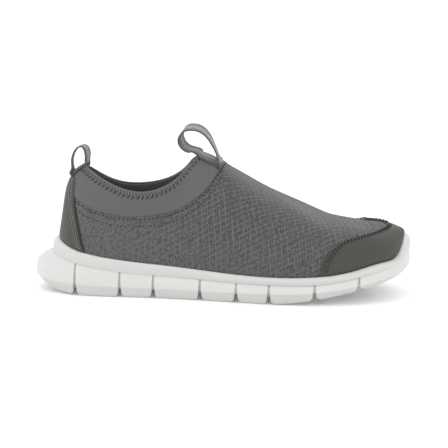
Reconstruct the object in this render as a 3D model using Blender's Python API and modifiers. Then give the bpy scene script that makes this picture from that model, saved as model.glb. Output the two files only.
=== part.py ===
"""Right slip-on sports shoe: a moulded sole, an insole, a hollow stretch upper with its overlays and two
webbing pull loops. Metres, +Z up, +X to the toe, the outer side of the foot at -Y. It stands on the floor
at Z 0 and the origin is under the middle of its length and width."""
import bmesh
import bpy
import numpy as np

# Driving sizes of the sole
SHOE_LENGTH = 0.298
BALL_WIDTH = 0.093          # across the upper where it meets the sole, at the ball of the foot
HEEL_FLARE = 0.0202         # the sole's heel stands this far behind the upper
TOE_BUMPER = 0.0055         # the rim stands this far ahead of the upper's toe
SIDE_FLARE = 0.0065         # the blocks' widest line stands this far outside the upper
RIM_THICKNESS = 0.0032
RIM_HEIGHT = 0.0418         # top of the rim behind the heel
TOE_SPRING = 0.019          # the underside's tip is lifted this far off the floor
HEEL_LIFT = 0.0065          # and its back edge this far
HEEL_STACK = 0.0262         # height of the footbed under the heel
BEVEL_HEIGHT = 0.0032       # the blocks' lower edges are bevelled over this height
FLEX_GROOVE_WIDTH = 0.0044
FLEX_GROOVE_DEPTH = 0.0055
FLEX_GROOVE_INSET = 0.0038  # how far a groove cuts into the side of the sole
LONG_GROOVE_DEPTH = 0.004
BLOCK_ROUND = 0.0024        # rounding of the blocks' lower corners

# Driving sizes of the upper and of what lies on it
COLLAR_HEIGHT = 0.0978      # the collar's edge at the heel
COLLAR_WIDTH = 0.054
INSTEP_HEIGHT = 0.1085      # the collar's edge at the instep
COLLAR_WALL = 0.003
VAMP_WALL = 0.002
UPPER_TAPER = 0.001         # the upper's lower edge draws in by this much inside the rim
INSOLE_THICKNESS = 0.0035
INSOLE_INSET = 0.0062
PANEL_THICKNESS = 0.0008
CAP_THICKNESS = 0.001
COUNTER_THICKNESS = 0.001
WEBBING_THICKNESS = 0.0012
INSTEP_WEBBING_WIDTH = 0.0122
HEEL_WEBBING_WIDTH = 0.0136
INSTEP_LOOP_HEIGHT = 0.0225
HEEL_LOOP_HEIGHT = 0.015
FIT_GAP = 0.0003            # between pieces that meet

# Plan of the line where upper and sole meet, as half widths from heel to toe
PLAN = [  # angle, outer side of BALL_WIDTH, inner side of BALL_WIDTH
    (0, 0.000, 0.000), (15, 0.183, 0.183), (30, 0.317, 0.317), (45, 0.366, 0.366), (60, 0.376, 0.350),
    (75, 0.387, 0.333), (90, 0.430, 0.360), (105, 0.484, 0.441), (120, 0.500, 0.500), (135, 0.435, 0.489),
    (150, 0.320, 0.412), (165, 0.145, 0.268), (180, -0.065, 0.065)]

# Heights along the sole
SIDE = [  # angle, rim top, rim low and flare line of RIM_HEIGHT, footbed of HEEL_STACK, underside of TOE_SPRING
          # and of HEEL_LIFT
    (0, 1.000, 0.760, 0.330, 1.030, 0.000, 1.00), (15, 0.957, 0.716, 0.300, 1.000, 0.000, 0.75),
    (30, 0.842, 0.622, 0.250, 0.973, 0.000, 0.24), (45, 0.737, 0.531, 0.218, 0.935, 0.000, 0.00),
    (60, 0.658, 0.445, 0.196, 0.820, 0.000, 0.00), (75, 0.593, 0.409, 0.194, 0.706, 0.000, 0.00),
    (90, 0.522, 0.361, 0.189, 0.603, 0.000, 0.00), (105, 0.488, 0.350, 0.206, 0.557, -0.01, 0.00),
    (120, 0.514, 0.378, 0.244, 0.588, 0.140, 0.00), (135, 0.600, 0.485, 0.335, 0.695, 0.420, 0.00),
    (150, 0.730, 0.612, 0.440, 0.840, 0.645, 0.00), (165, 0.824, 0.720, 0.535, 0.973, 0.860, 0.00),
    (180, 1.160, 0.880, 0.620, 1.030, 1.000, 0.00)]

# The sole's side, from its contact edge up to the rim's inner edge. A level's height is made of shares of the
# underside, flare line, rim low and rim top, and its last two columns shape the flex grooves there
LEVELS = [  # back of HEEL_FLARE, front of TOE_BUMPER, side of SIDE_FLARE, side of RIM_THICKNESS,
            # underside, flare line, rim low, rim top, bevel, half slot of FLEX_GROOVE_WIDTH, cut of its inset
    (0.57, -0.48, 0.49, 0.00, 1.00, 0.00, 0.00, 0.00, 0, 0.50, 1.0),
    (0.80, 0.62, 0.80, 0.00, 1.00, 0.00, 0.00, 0.00, 1, 0.36, 1.0),
    (1.00, 1.00, 1.00, 0.00, 0.00, 1.00, 0.00, 0.00, 0, 0.27, 0.9),
    (0.95, 1.00, 0.82, 0.00, 0.00, 0.38, 0.62, 0.00, 0, 0.20, 0.7),
    (0.29, 0.95, 0.00, 0.70, 0.00, 0.00, 1.00, 0.00, 0, 0.16, 0.5),
    (0.30, 1.00, 0.00, 0.90, 0.00, 0.00, 1.00, 0.00, 0, 0.16, 0.0),
    (0.28, 1.00, 0.00, 1.10, 0.00, 0.00, 0.45, 0.55, 0, 0.16, 0.0),
    (0.17, 0.62, 0.00, 0.75, 0.00, 0.00, 0.06, 0.94, 0, 0.16, 0.0),
    (0.00, 0.00, 0.00, 0.00, 0.00, 0.00, 0.00, 1.00, 0, 0.16, 0.0)]
FLEX_GROOVES = [0.130, 0.250, 0.339, 0.463, 0.5585, 0.644, 0.761, 0.872]    # of SHOE_LENGTH
LONG_GROOVES = [(0.27, 0.35), (0.65, 0.73)]                                # of the underside's width

# The collar's edge, from the middle of the heel to its front corner
COLLAR = [  # angle, x of SHOE_LENGTH, half width of COLLAR_WIDTH, z of COLLAR_HEIGHT, z of INSTEP_HEIGHT,
            # drop of the inner side of COLLAR_HEIGHT
    (0, 0.142, 0.000, 1.000, 0.000, 0.000), (14, 0.158, 0.205, 0.985, 0.000, 0.032),
    (28, 0.200, 0.385, 0.920, 0.000, 0.054), (42, 0.254, 0.480, 0.856, 0.000, 0.026),
    (56, 0.312, 0.500, 0.836, 0.000, -0.010), (68, 0.364, 0.430, 0.640, 0.213, -0.026),
    (78, 0.401, 0.300, 0.300, 0.592, -0.032), (86, 0.4245, 0.180, 0.080, 0.870, -0.022),
    (92, 0.440, 0.075, 0.000, 0.982, 0.000), (96, 0.446, 0.000, 0.000, 0.990, 0.000)]
COLLAR_SHAPE = [  # angle, lean at the edge, bulge at the rim, low handle, high handle
    (0, 64, -11, 0.62, 0.36), (14, 46, -8, 0.52, 0.30), (28, 24, -1, 0.40, 0.30), (42, 14, 2, 0.36, 0.30),
    (56, 14, 3, 0.36, 0.30), (68, 20, 2, 0.36, 0.30), (78, 34, 2, 0.38, 0.32), (86, 52, 3, 0.40, 0.36),
    (92, 68, 4, 0.42, 0.40), (96, 80, 5, 0.42, 0.42)]
COLLAR_FRONT = COLLAR[-1][0]
TURN_START = 50             # ahead of this angle a section ends in the direction it crosses the shoe in

# The ridge from the collar's front corner down to the toe
RIDGE = [  # angle, x of SHOE_LENGTH, y of BALL_WIDTH, z of INSTEP_HEIGHT
    (COLLAR_FRONT, 0.446, 0.030, 0.990), (103, 0.480, 0.045, 0.962), (111, 0.530, 0.056, 0.895),
    (120, 0.597, 0.062, 0.790), (129, 0.668, 0.064, 0.692), (138, 0.735, 0.064, 0.600),
    (147, 0.795, 0.064, 0.549), (156, 0.852, 0.064, 0.521), (164, 0.896, 0.065, 0.518),
    (172, 0.932, 0.065, 0.506), (180, 0.961, 0.065, 0.480)]
RIDGE_SHAPE = [  # angle, bulge at the rim, low handle, high handle
    (COLLAR_FRONT, 5, 0.42, 0.34), (111, 7, 0.42, 0.36), (129, 10, 0.44, 0.40), (147, 12, 0.46, 0.42),
    (164, 10, 0.46, 0.40), (180, 4, 0.36, 0.36)]

# Seam lines on the upper, seen from the side
PANEL_SEAM = [  # x of SHOE_LENGTH, z of INSTEP_HEIGHT
    (0.080, 0.730), (0.124, 0.682), (0.164, 0.629), (0.208, 0.596), (0.251, 0.577), (0.304, 0.577),
    (0.356, 0.595), (0.409, 0.640), (0.460, 0.739), (0.495, 0.856), (0.520, 1.000)]
CAP_SEAM = [  # z of INSTEP_HEIGHT, x of SHOE_LENGTH
    (0.100, 0.7685), (0.191, 0.770), (0.262, 0.7745), (0.308, 0.780), (0.345, 0.788), (0.381, 0.799),
    (0.412, 0.8115), (0.431, 0.825), (0.443, 0.841), (0.454, 0.861), (0.464, 0.881), (0.475, 0.910),
    (0.490, 0.930), (0.515, 0.943), (0.560, 0.960)]
COUNTER_SEAM = [  # z of INSTEP_HEIGHT, x of SHOE_LENGTH
    (0.250, 0.162), (0.317, 0.153), (0.381, 0.145), (0.453, 0.139), (0.525, 0.132), (0.596, 0.125),
    (0.661, 0.121), (0.720, 0.1195), (0.784, 0.119), (0.870, 0.113)]
COUNTER_TOP = 0.826         # of INSTEP_HEIGHT
CAP_INNER_REACH = 0.064     # of SHOE_LENGTH, how much further back the cap reaches on the inner side
CAP_TURN_START = 0.045      # of BALL_WIDTH, how far inside the middle the cap's seam starts to move back
CAP_TURN_WIDTH = 0.14       # of BALL_WIDTH, and across how much of the toe's top it does

# The free parts of the pull loops, from the front end of the layer that lies on the shoe round to its back end
HEEL_LOOP = [  # along that layer, up of HEEL_LOOP_HEIGHT, lean, yaw
    (-0.11, 0.15, 0, 4), (-0.14, 0.36, 0, 5), (-0.11, 0.62, 0, 6), (0.01, 0.89, 0, 6), (0.22, 1.09, 0, 3),
    (0.50, 1.19, 0, -1), (0.75, 1.17, 0, -4), (0.97, 1.02, 0, -6), (1.08, 0.74, 0, -7), (1.06, 0.38, 0, -6)]
INSTEP_LOOP = [  # along that layer, up of INSTEP_LOOP_HEIGHT, lean, yaw
    (-0.25, 0.05, 14, 5), (-0.53, 0.01, 17, 8), (-0.83, -0.02, 18, 12), (-1.09, 0.03, 17, 14),
    (-1.23, 0.17, 17, 14), (-1.20, 0.39, 18, 10), (-1.00, 0.61, 18, 5), (-0.64, 0.77, 18, 0),
    (-0.22, 0.85, 18, -3), (0.19, 0.81, 17, -6), (0.52, 0.64, 16, -8), (0.745, 0.44, 14, -8),
    (0.905, 0.27, 12, -4)]
HEEL_LAYER = [0.755, 0.80, 0.85, 0.90, 0.95, 0.985]     # where the heel loop's layer lies, up the heel's section
INSTEP_LAYER = [  # where the instep loop's layer lies: x of SHOE_LENGTH, inward of the ridge of BALL_WIDTH
    (0.498, -0.130), (0.487, -0.110), (0.476, -0.088), (0.466, -0.068), (0.457, -0.050), (0.451, -0.038)]

# Grids
SIDE_ANGLES = [0, 5, 10, 15, 20, 25, 30, 36, 42, 48, 54, 60, 65, 70, 74, 78, 82, 86, 89, 92, 94, COLLAR_FRONT,
               99, 103, 107, 111, 116, 121, 126, 131, 136, 141, 146, 151, 156, 161, 165, 169, 173, 177, 180]
HEEL_ANGLES = [angle for angle in SIDE_ANGLES if angle <= 25]      # the sole's stations behind its grooves
TOE_ANGLES = [angle for angle in SIDE_ANGLES if angle > 150]       # and ahead of them
BLOCK_STEP = 0.009          # the sole's stations along a block are about this far apart
OVERLAY_START = 0.015       # overlays start this far up a section, just clear of the rim
SECTION_STEPS = [-1, 0, OVERLAY_START, 0.10, 0.22, 0.35, 0.48, 0.60, 0.72, 0.82, 0.91, 1]
INSOLE_ANGLES = list(range(0, 181, 6))
FOOTBED_LEVEL = (-UPPER_TAPER / HEEL_FLARE, -UPPER_TAPER / TOE_BUMPER, 0.0, -UPPER_TAPER / RIM_THICKNESS,
                 0, 0, 0, 0, 0, 0.16, 0.0)
GROOVE_REACH = 0.65         # a groove never takes more than this share of the sole below the footbed
LEVEL_STEP = 0.0004         # levels above a groove's roof are at least this far apart
LONG_SLOPE = 0.015          # of the underside's width, the slope of a long groove's wall
WEBBING_SHARES = [-0.5, -0.17, 0.17, 0.5]
WEBBING_SEAT = 0.0002       # the webbing's layer is flat between its rows, so it lies a little higher
FREE_STEPS = 2              # rows between two chosen rows of a loop's free part
FOLD_GAP = 0.0021           # between the middles of a loop's two layers where it is folded at its root

FINISHES = {  # colour, roughness
    "sole": ((0.80, 0.80, 0.78), 0.55), "insole": ((0.09, 0.09, 0.09), 0.90),
    "upper": ((0.14, 0.14, 0.14), 0.85), "collar_panel": ((0.17, 0.17, 0.17), 0.80),
    "toe_cap": ((0.085, 0.088, 0.078), 0.50), "heel_counter": ((0.095, 0.100, 0.087), 0.50),
    "heel_loop": ((0.20, 0.20, 0.20), 0.80), "instep_loop": ((0.20, 0.20, 0.20), 0.80)}


def curve(xs, ys):
    """a natural cubic spline through a few chosen points, as a function"""
    xs, ys = np.array(xs, float), np.array(ys, float)
    n, h = len(xs), np.diff(xs)
    system, right = np.eye(n), np.zeros(ys.shape)
    for i in range(1, n - 1):
        system[i, i - 1:i + 2] = h[i - 1], 2 * (h[i - 1] + h[i]), h[i]
        right[i] = 6 * ((ys[i + 1] - ys[i]) / h[i] - (ys[i] - ys[i - 1]) / h[i - 1])
    bend = np.linalg.solve(system, right)

    def at(x):
        x = np.clip(np.asarray(x, float), xs[0], xs[-1])
        i = np.clip(np.searchsorted(xs, x) - 1, 0, n - 2)
        a, b, step = (xs[i + 1] - x) / h[i], (x - xs[i]) / h[i], h[i]
        if ys.ndim > 1:
            a, b, step = a[..., None], b[..., None], step[..., None]
        return a * ys[i] + b * ys[i + 1] + ((a**3 - a) * bend[i] + (b**3 - b) * bend[i + 1]) * step**2 / 6
    return at


def columns(table, middle, odd_column=0):
    """one spline over the angle for each column after it, mirrored about the angle of the shoe's middle line,
    where a column named as odd changes its sign"""
    rows = np.array(table, float)
    mirrored = rows.copy()
    mirrored[:, 0] = 2 * middle - rows[:, 0]
    if odd_column:
        mirrored[:, odd_column] *= -1
    rows = np.concatenate([rows, mirrored[rows[:, 0] != middle]])
    rows = rows[np.argsort(rows[:, 0])]
    return [curve(rows[:, 0], rows[:, k]) for k in range(1, rows.shape[1])]


def round_the_shoe(outer, inner):
    """a spline over the angle once round the shoe, from a column for each side"""
    angles = np.array([row[0] for row in PLAN], float)
    angles, values = np.r_[angles, 360 - angles[-2:0:-1]], np.r_[outer, inner[-2:0:-1]]
    return curve(np.r_[angles - 360, angles, angles + 360], np.r_[values, values, values])


plan, side = np.array(PLAN), np.array(SIDE)
half_width = round_the_shoe(-plan[:, 1] * BALL_WIDTH, plan[:, 2] * BALL_WIDTH)
side_sizes = [RIM_HEIGHT, RIM_HEIGHT, RIM_HEIGHT, HEEL_STACK, TOE_SPRING, HEEL_LIFT]
rim_top, rim_low, flare_line, footbed, toe_lift, heel_lift = [
    round_the_shoe(side[:, k + 1] * size, side[:, k + 1] * size) for k, size in enumerate(side_sizes)]


def ring(angles, back, front, out):
    """x and y round the shoe, moved out from the meeting line by a distance behind, ahead and at the sides"""
    low, high = HEEL_FLARE - back, SHOE_LENGTH - TOE_BUMPER + front
    x = (low + high) / 2 - (high - low) / 2 * np.cos(np.radians(angles))
    return x, half_width(np.mod(angles, 360)) * (1 + 2 * out / BALL_WIDTH)


def angle_at(x, back, front):
    """the angle at which such a line passes x on the outer side"""
    low, high = HEEL_FLARE - back, SHOE_LENGTH - TOE_BUMPER + front
    return np.degrees(np.arccos(np.clip(((low + high) / 2 - x) / ((high - low) / 2), -1, 1)))


def underside(angles):
    """height of the blocks' lower faces, which are flat on the floor between the heel's and the toe's lift"""
    return np.maximum(toe_lift(angles), 0) + np.maximum(heel_lift(angles), 0)


def footbed_at(x):
    return footbed(angle_at(x, -UPPER_TAPER, -UPPER_TAPER))


widest_line = ring(np.arange(0, 360, 1.0), HEEL_FLARE, TOE_BUMPER, SIDE_FLARE)[1]
ORIGIN = np.array([SHOE_LENGTH / 2, (widest_line.max() + widest_line.min()) / 2, 0.0])


# The upper's own function

collar_x, collar_half, collar_heel_z, collar_instep_z, collar_drop = columns(COLLAR, 0, odd_column=2)
collar_lean, collar_bulge, collar_low, collar_high = columns(COLLAR_SHAPE, 0)
ridge_x, ridge_y, ridge_z = columns(RIDGE, 180)
ridge_bulge, ridge_low, ridge_high = columns(RIDGE_SHAPE, 180)


def unit(vectors):
    return vectors / np.linalg.norm(vectors, axis=-1, keepdims=True)


def edge_point(angles):
    """where a section of the upper ends: on the collar's edge, or on the ridge ahead of it"""
    a, sign = np.where(angles > 180, 360 - angles, angles), np.where(angles > 180, 1.0, -1.0)
    middle = ridge_y(a) * BALL_WIDTH * np.clip(a / COLLAR_FRONT, 0, 1)**2
    drop = np.where(sign > 0, collar_drop(a), 0.0)
    collar = np.stack([collar_x(a) * SHOE_LENGTH, sign * collar_half(a) * COLLAR_WIDTH + middle,
                       (collar_heel_z(a) - drop) * COLLAR_HEIGHT + collar_instep_z(a) * INSTEP_HEIGHT], -1)
    ridge = np.stack([ridge_x(a) * SHOE_LENGTH, ridge_y(a) * BALL_WIDTH, ridge_z(a) * INSTEP_HEIGHT], -1)
    return np.where((a < COLLAR_FRONT)[..., None], collar, ridge)


def section(angles):
    """the four handles of the upper's section at each angle, from the rim to the edge"""
    a = np.where(angles > 180, 360 - angles, angles)
    on_collar = (a < COLLAR_FRONT)[..., None]
    x, y = ring(angles, -FIT_GAP, -FIT_GAP, -FIT_GAP)
    low = np.stack([x, y, rim_top(angles)], -1)
    ahead, behind = ring(angles + 0.5, 0, 0, 0), ring(angles - 0.5, 0, 0, 0)
    inward = unit(np.stack([behind[1] - ahead[1], ahead[0] - behind[0], 0 * x], -1))
    high = edge_point(angles)
    reach = np.linalg.norm(high - low, axis=-1, keepdims=True)
    up = np.array([0.0, 0.0, 1.0])
    bulge = np.radians(np.where(a < COLLAR_FRONT, collar_bulge(a), ridge_bulge(a)))[..., None]
    low_handle = np.where(on_collar, collar_low(a)[..., None], ridge_low(a)[..., None])
    high_handle = np.where(on_collar, collar_high(a)[..., None], ridge_high(a)[..., None])
    lean = np.radians(collar_lean(a))[..., None]
    straight = unit((high - low) * [1, 1, 0] + [0, 0, 1e-9])
    turned = np.clip((a - TURN_START) / (COLLAR_FRONT - TURN_START), 0, 1)[..., None]
    across = unit(inward * (1 - turned) + straight * turned)
    over_collar = np.cos(lean) * up + np.sin(lean) * across
    b = np.clip(a, COLLAR_FRONT + 0.5, 179.5)
    slope = ((ridge_z(b + 0.5) - ridge_z(b - 0.5)) * INSTEP_HEIGHT
             / ((ridge_x(b + 0.5) - ridge_x(b - 0.5)) * SHOE_LENGTH))[..., None]
    over_ridge = unit(across + across[..., :1] * slope * up)
    leaving = np.cos(bulge) * up - np.sin(bulge) * inward
    arriving = np.where(on_collar, over_collar, over_ridge)
    return low, low + leaving * low_handle * reach, high - arriving * high_handle * reach, high


def upper_point(angles, steps):
    """the upper's outer face: steps run from -1 at its lower edge to 0 at the rim and 1 at collar or ridge"""
    angles, steps = np.broadcast_arrays(np.asarray(angles, float), np.asarray(steps, float))
    p, q, r, s = section(angles)
    t = np.clip(steps, 0, 1)[..., None]
    above = (1 - t)**3 * p + 3 * (1 - t)**2 * t * q + 3 * (1 - t) * t**2 * r + t**3 * s
    x, y = ring(angles, -UPPER_TAPER - FIT_GAP, -UPPER_TAPER - FIT_GAP, -UPPER_TAPER - FIT_GAP)
    foot = np.stack([x, y, footbed_at(x) + FIT_GAP], -1)
    return np.where((steps < 0)[..., None], p + (foot - p) * -steps[..., None], above)


def upper_normal(angles, steps):
    """the direction out of the upper's outer face"""
    along = upper_point(angles + 0.3, steps) - upper_point(angles - 0.3, steps)
    up = upper_point(angles, steps) - upper_point(angles, steps - 0.01)
    return unit(np.cross(along, up))


# Meshes

def new_object(name, bm):
    """an object of the shoe with its own material, with the origin moved under the shoe's middle"""
    for vert in bm.verts:
        vert.co = np.array(vert.co) - ORIGIN
    mesh = bpy.data.meshes.new(name)
    bm.to_mesh(mesh)
    bm.free()
    mesh.shade_smooth()
    mesh.set_sharp_from_angle(angle=np.radians(40))
    obj = bpy.data.objects.new(name, mesh)
    shoe.objects.link(obj)
    colour, roughness = FINISHES[name]
    material = bpy.data.materials.new(name)
    material.use_nodes = True
    shader = material.node_tree.nodes["Principled BSDF"]
    shader.inputs["Base Color"].default_value = (*colour, 1.0)
    shader.inputs["Roughness"].default_value = roughness
    mesh.materials.append(material)
    return obj


def thicken(obj, thickness, offset, group=""):
    """a wall on the open surface, inward at -1, both ways at 0 and outward at 1"""
    wall = obj.modifiers.new("wall", "SOLIDIFY")
    wall.thickness = thickness
    wall.offset = offset
    wall.vertex_group = group


def grid(bm, points, closed):
    """a surface over rows of points, its rows joined end to start when closed"""
    verts = [[bm.verts.new(point) for point in row] for row in points]
    rows = len(verts)
    for i in range(rows if closed else rows - 1):
        for j in range(len(verts[0]) - 1):
            bm.faces.new((verts[i][j], verts[(i + 1) % rows][j], verts[(i + 1) % rows][j + 1], verts[i][j + 1]))
    return verts


def both_sides(angles):
    """the same angles on the inner side too, once round the shoe"""
    return np.array(list(angles) + [360 - a for a in angles[-2:0:-1]], float)


def upper_surface():
    """the upper's outer face as an open surface whose two sides share the ridge. Each corner keeps its place up
    the section and its direction out of the face"""
    bm = bmesh.new()
    place, out = bm.verts.layers.float.new("place"), bm.verts.layers.float_vector.new("out")
    verts = grid(bm, upper_point(both_sides(SIDE_ANGLES)[:, None], np.array(SECTION_STEPS)[None, :]), closed=True)
    for row in verts:
        for vert, step in zip(row, SECTION_STEPS):
            vert[place] = step
    bmesh.ops.remove_doubles(bm, verts=bm.verts, dist=1e-6)
    bmesh.ops.dissolve_degenerate(bm, edges=bm.edges, dist=1e-6)
    bmesh.ops.triangulate(bm, faces=bm.faces, quad_method="SHORT_EDGE")
    bm.normal_update()
    for vert in bm.verts:
        vert[out] = vert.normal
    return bm, place, out


def cut_along(bm, field):
    """splits the surface along the line where the field is nought"""
    value = {vert: field(*vert.co) for vert in bm.verts}
    for edge in list(bm.edges):
        a, b = edge.verts
        if value[a] * value[b] < 0:
            share = value[a] / (value[a] - value[b])
            new_vert = bmesh.utils.edge_split(edge, a, share)[1]
            value[new_vert] = 0.0
    for face in list(bm.faces):
        on_line = [vert for vert in face.verts if value[vert] == 0.0]
        if len(on_line) == 2 and min(value[v] for v in face.verts) < 0 < max(value[v] for v in face.verts):
            bmesh.utils.face_split(face, on_line[0], on_line[1])


def overlay(name, thickness, fields, keeps):
    """a piece that lies on the upper, cut from its face along the fields' lines"""
    bm, place, out = upper_surface()
    for field in fields:
        cut_along(bm, field)
    unwanted = [face for face in bm.faces if not keeps(*face.calc_center_median())
                or min(vert[place] for vert in face.verts) < OVERLAY_START - 1e-6]
    bmesh.ops.delete(bm, geom=unwanted, context="FACES")
    for vert in bm.verts:
        vert.co += vert[out].normalized() * FIT_GAP
    obj = new_object(name, bm)
    thicken(obj, thickness, 1)
    return obj


panel_seam_z = curve(*(np.array(PANEL_SEAM).T * [[SHOE_LENGTH], [INSTEP_HEIGHT]]))
cap_seam_x = curve(*(np.array(CAP_SEAM).T * [[INSTEP_HEIGHT], [SHOE_LENGTH]]))
counter_seam_x = curve(*(np.array(COUNTER_SEAM).T * [[INSTEP_HEIGHT], [SHOE_LENGTH]]))


def above_panel_seam(x, y, z):
    return float(z - panel_seam_z(x))


def ahead_of_cap_seam(x, y, z):
    share = np.clip((y / BALL_WIDTH - CAP_TURN_START) / CAP_TURN_WIDTH, 0, 1)
    return float(x - cap_seam_x(z) + CAP_INNER_REACH * SHOE_LENGTH * share**2 * (3 - 2 * share))


def behind_counter_seam(x, y, z):
    return float(counter_seam_x(z) - x)


def below_counter_top(x, y, z):
    return float(COUNTER_TOP * INSTEP_HEIGHT - z)


def make_upper():
    obj = new_object("upper", upper_surface()[0])
    group = obj.vertex_groups.new(name="wall")
    for vert in obj.data.vertices:
        x, y, z = np.array(vert.co) + ORIGIN
        height = np.clip((z - HEEL_STACK) / (COLLAR_HEIGHT - HEEL_STACK), 0, 1)
        near_collar = np.clip((RIDGE[3][1] * SHOE_LENGTH - x) / ((RIDGE[3][1] - RIDGE[0][1]) * SHOE_LENGTH), 0, 1)
        wall = VAMP_WALL + (COLLAR_WALL - VAMP_WALL) * height * near_collar
        group.add([vert.index], wall / COLLAR_WALL, "REPLACE")
    thicken(obj, COLLAR_WALL, -1, "wall")


def make_overlays():
    overlay("collar_panel", PANEL_THICKNESS,
            [above_panel_seam, lambda *p: behind_counter_seam(*p) + FIT_GAP,
             lambda *p: below_counter_top(*p) + FIT_GAP],
            lambda *p: above_panel_seam(*p) > 0 and (behind_counter_seam(*p) < -FIT_GAP
                                                     or below_counter_top(*p) < -FIT_GAP))
    overlay("heel_counter", COUNTER_THICKNESS, [behind_counter_seam, below_counter_top],
            lambda *p: behind_counter_seam(*p) > 0 and below_counter_top(*p) > 0)
    overlay("toe_cap", CAP_THICKNESS, [ahead_of_cap_seam], lambda *p: ahead_of_cap_seam(*p) > 0)


def sole_stations():
    """the sole's stations from heel to toe: an angle, a place along it, or a place across one of its grooves"""
    stations = [("angle", angle, 0) for angle in HEEL_ANGLES]
    toe_start = float(ring(np.array([TOE_ANGLES[0]]), 0, 0, 0)[0][0])
    for groove, following in zip(FLEX_GROOVES, FLEX_GROOVES[1:] + [toe_start / SHOE_LENGTH]):
        start, end = groove * SHOE_LENGTH, following * SHOE_LENGTH
        stations += [("x", start, place) for place in (-3, -2, -1, 1, 2, 3)]
        pieces = round((end - start) / BLOCK_STEP)
        stations += [("x", start + (end - start) * k / pieces, 0) for k in range(1, pieces)]
    return stations + [("angle", angle, 0) for angle in TOE_ANGLES]


def sole_line(level, stations):
    """one level of the sole once round, outer side first: angles, points before and after the grooves are cut
    into its side, and how deep they are cut from below"""
    back, front = level[0] * HEEL_FLARE, level[1] * TOE_BUMPER
    out = level[2] * SIDE_FLARE + level[3] * RIM_THICKNESS
    slot, cut = level[9] * FLEX_GROOVE_WIDTH, level[10] * FLEX_GROOVE_INSET
    rounding = BLOCK_ROUND * level[9] / LEVELS[0][9]
    across = {0: (0, 0, 0), 1: (0.6 * slot, cut, FLEX_GROOVE_DEPTH), 2: (slot, 0.15 * cut, 0.4 * BLOCK_ROUND),
              3: (slot + rounding, 0, 0)}
    angles, insets, depths = [], [], []
    for kind, value, place in stations:
        away, inset, depth = across[abs(place)]
        angles.append(value if kind == "angle" else float(angle_at(value + np.sign(place) * away, back, front)))
        insets.append(inset)
        depths.append(depth)
    angles = both_sides(angles)
    insets, depths = np.array(insets + insets[-2:0:-1]), np.array(depths + depths[-2:0:-1])
    x, y = ring(angles, back, front, out)
    return angles, x, y, y - np.sign(y) * insets, depths


def cap(bm, edge, between):
    """closes a ring of corners across the shoe, over further corners between its sides at each station"""
    last = len(edge) // 2
    rows = [[edge[0]]] + [[edge[i], *between[i], edge[-i]] for i in range(1, last)] + [[edge[last]]]
    for a, b in zip(rows, rows[1:]):
        for k in range(max(len(a), len(b)) - 1):
            corners = [a[min(k, len(a) - 1)], a[min(k + 1, len(a) - 1)], b[min(k + 1, len(b) - 1)],
                       b[min(k, len(b) - 1)]]
            bm.faces.new(list(dict.fromkeys(corners)))


def make_sole():
    stations = sole_stations()
    bm = bmesh.new()
    lines = []
    for k, level in enumerate(LEVELS):
        angles, x, full_y, y, depths = sole_line(level, stations)
        ground, low = underside(angles), rim_low(angles)
        z = (level[4] * ground + level[5] * flare_line(angles) + level[6] * low + level[7] * rim_top(angles)
             + level[8] * BEVEL_HEIGHT)
        if k == 0:
            ceiling = ground + np.minimum(depths, GROOVE_REACH * (footbed(angles) - ground))
            contact_x, contact_y, contact_ground = x, full_y, ground
        lines.append(np.stack([x, y, np.maximum(z, ceiling + k * LEVEL_STEP)], -1))
    angles, x, full_y, y, depths = sole_line(FOOTBED_LEVEL, stations)
    lines.append(np.stack([x, y, footbed_at(x)], -1))
    verts = grid(bm, np.array(lines).transpose(1, 0, 2), closed=True)

    last = len(stations) - 1
    between = [[] for _ in stations]
    for i in range(1, last):
        grooved = len(HEEL_ANGLES) <= i <= last - len(TOE_ANGLES)
        for start, end in LONG_GROOVES:
            for share, deep in ((start, 0), (start + LONG_SLOPE, 1), (end - LONG_SLOPE, 1), (end, 0)):
                depth = LONG_GROOVE_DEPTH if deep and grooved else 0
                y = contact_y[i] + share * (contact_y[-i] - contact_y[i])
                between[i].append(bm.verts.new((contact_x[i], y, max(ceiling[i], contact_ground[i] + depth))))
    cap(bm, [column[0] for column in verts], between)
    cap(bm, [column[-1] for column in verts], [[] for _ in stations])
    bmesh.ops.recalc_face_normals(bm, faces=bm.faces)
    new_object("sole", bm)


def make_insole():
    angles = both_sides(INSOLE_ANGLES)
    rows = []
    for inset, lift in ((INSOLE_INSET, 0), (INSOLE_INSET, 0.7), (INSOLE_INSET + 0.3 * INSOLE_THICKNESS, 1)):
        x, y = ring(angles, -inset, -inset, -inset)
        rows.append(np.stack([x, y, footbed_at(x) + FIT_GAP + lift * INSOLE_THICKNESS], -1))
    bm = bmesh.new()
    verts = grid(bm, np.array(rows).transpose(1, 0, 2), closed=True)
    for level in (0, -1):
        cap(bm, [column[level] for column in verts], [[] for _ in INSOLE_ANGLES])
    bmesh.ops.recalc_face_normals(bm, faces=bm.faces)
    new_object("insole", bm)


def webbing_row(middle, tangent, lean, yaw, width):
    """four points across a free part of a webbing: its width leans down to the outer side and yaws"""
    lean, yaw = np.radians(lean), np.radians(yaw)
    across = np.array([np.sin(yaw) * np.cos(lean), np.cos(yaw) * np.cos(lean), np.sin(lean)])
    across = unit(across - tangent * np.dot(across, tangent))
    return [middle + across * width * share for share in WEBBING_SHARES]


def lifted(angles, steps, lift):
    """points this far off the upper's outer face"""
    angles, steps = np.array(angles, float), np.array(steps, float)
    return upper_point(angles, steps) + upper_normal(angles, np.minimum(steps, 1 - 1e-6)) * lift


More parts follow.
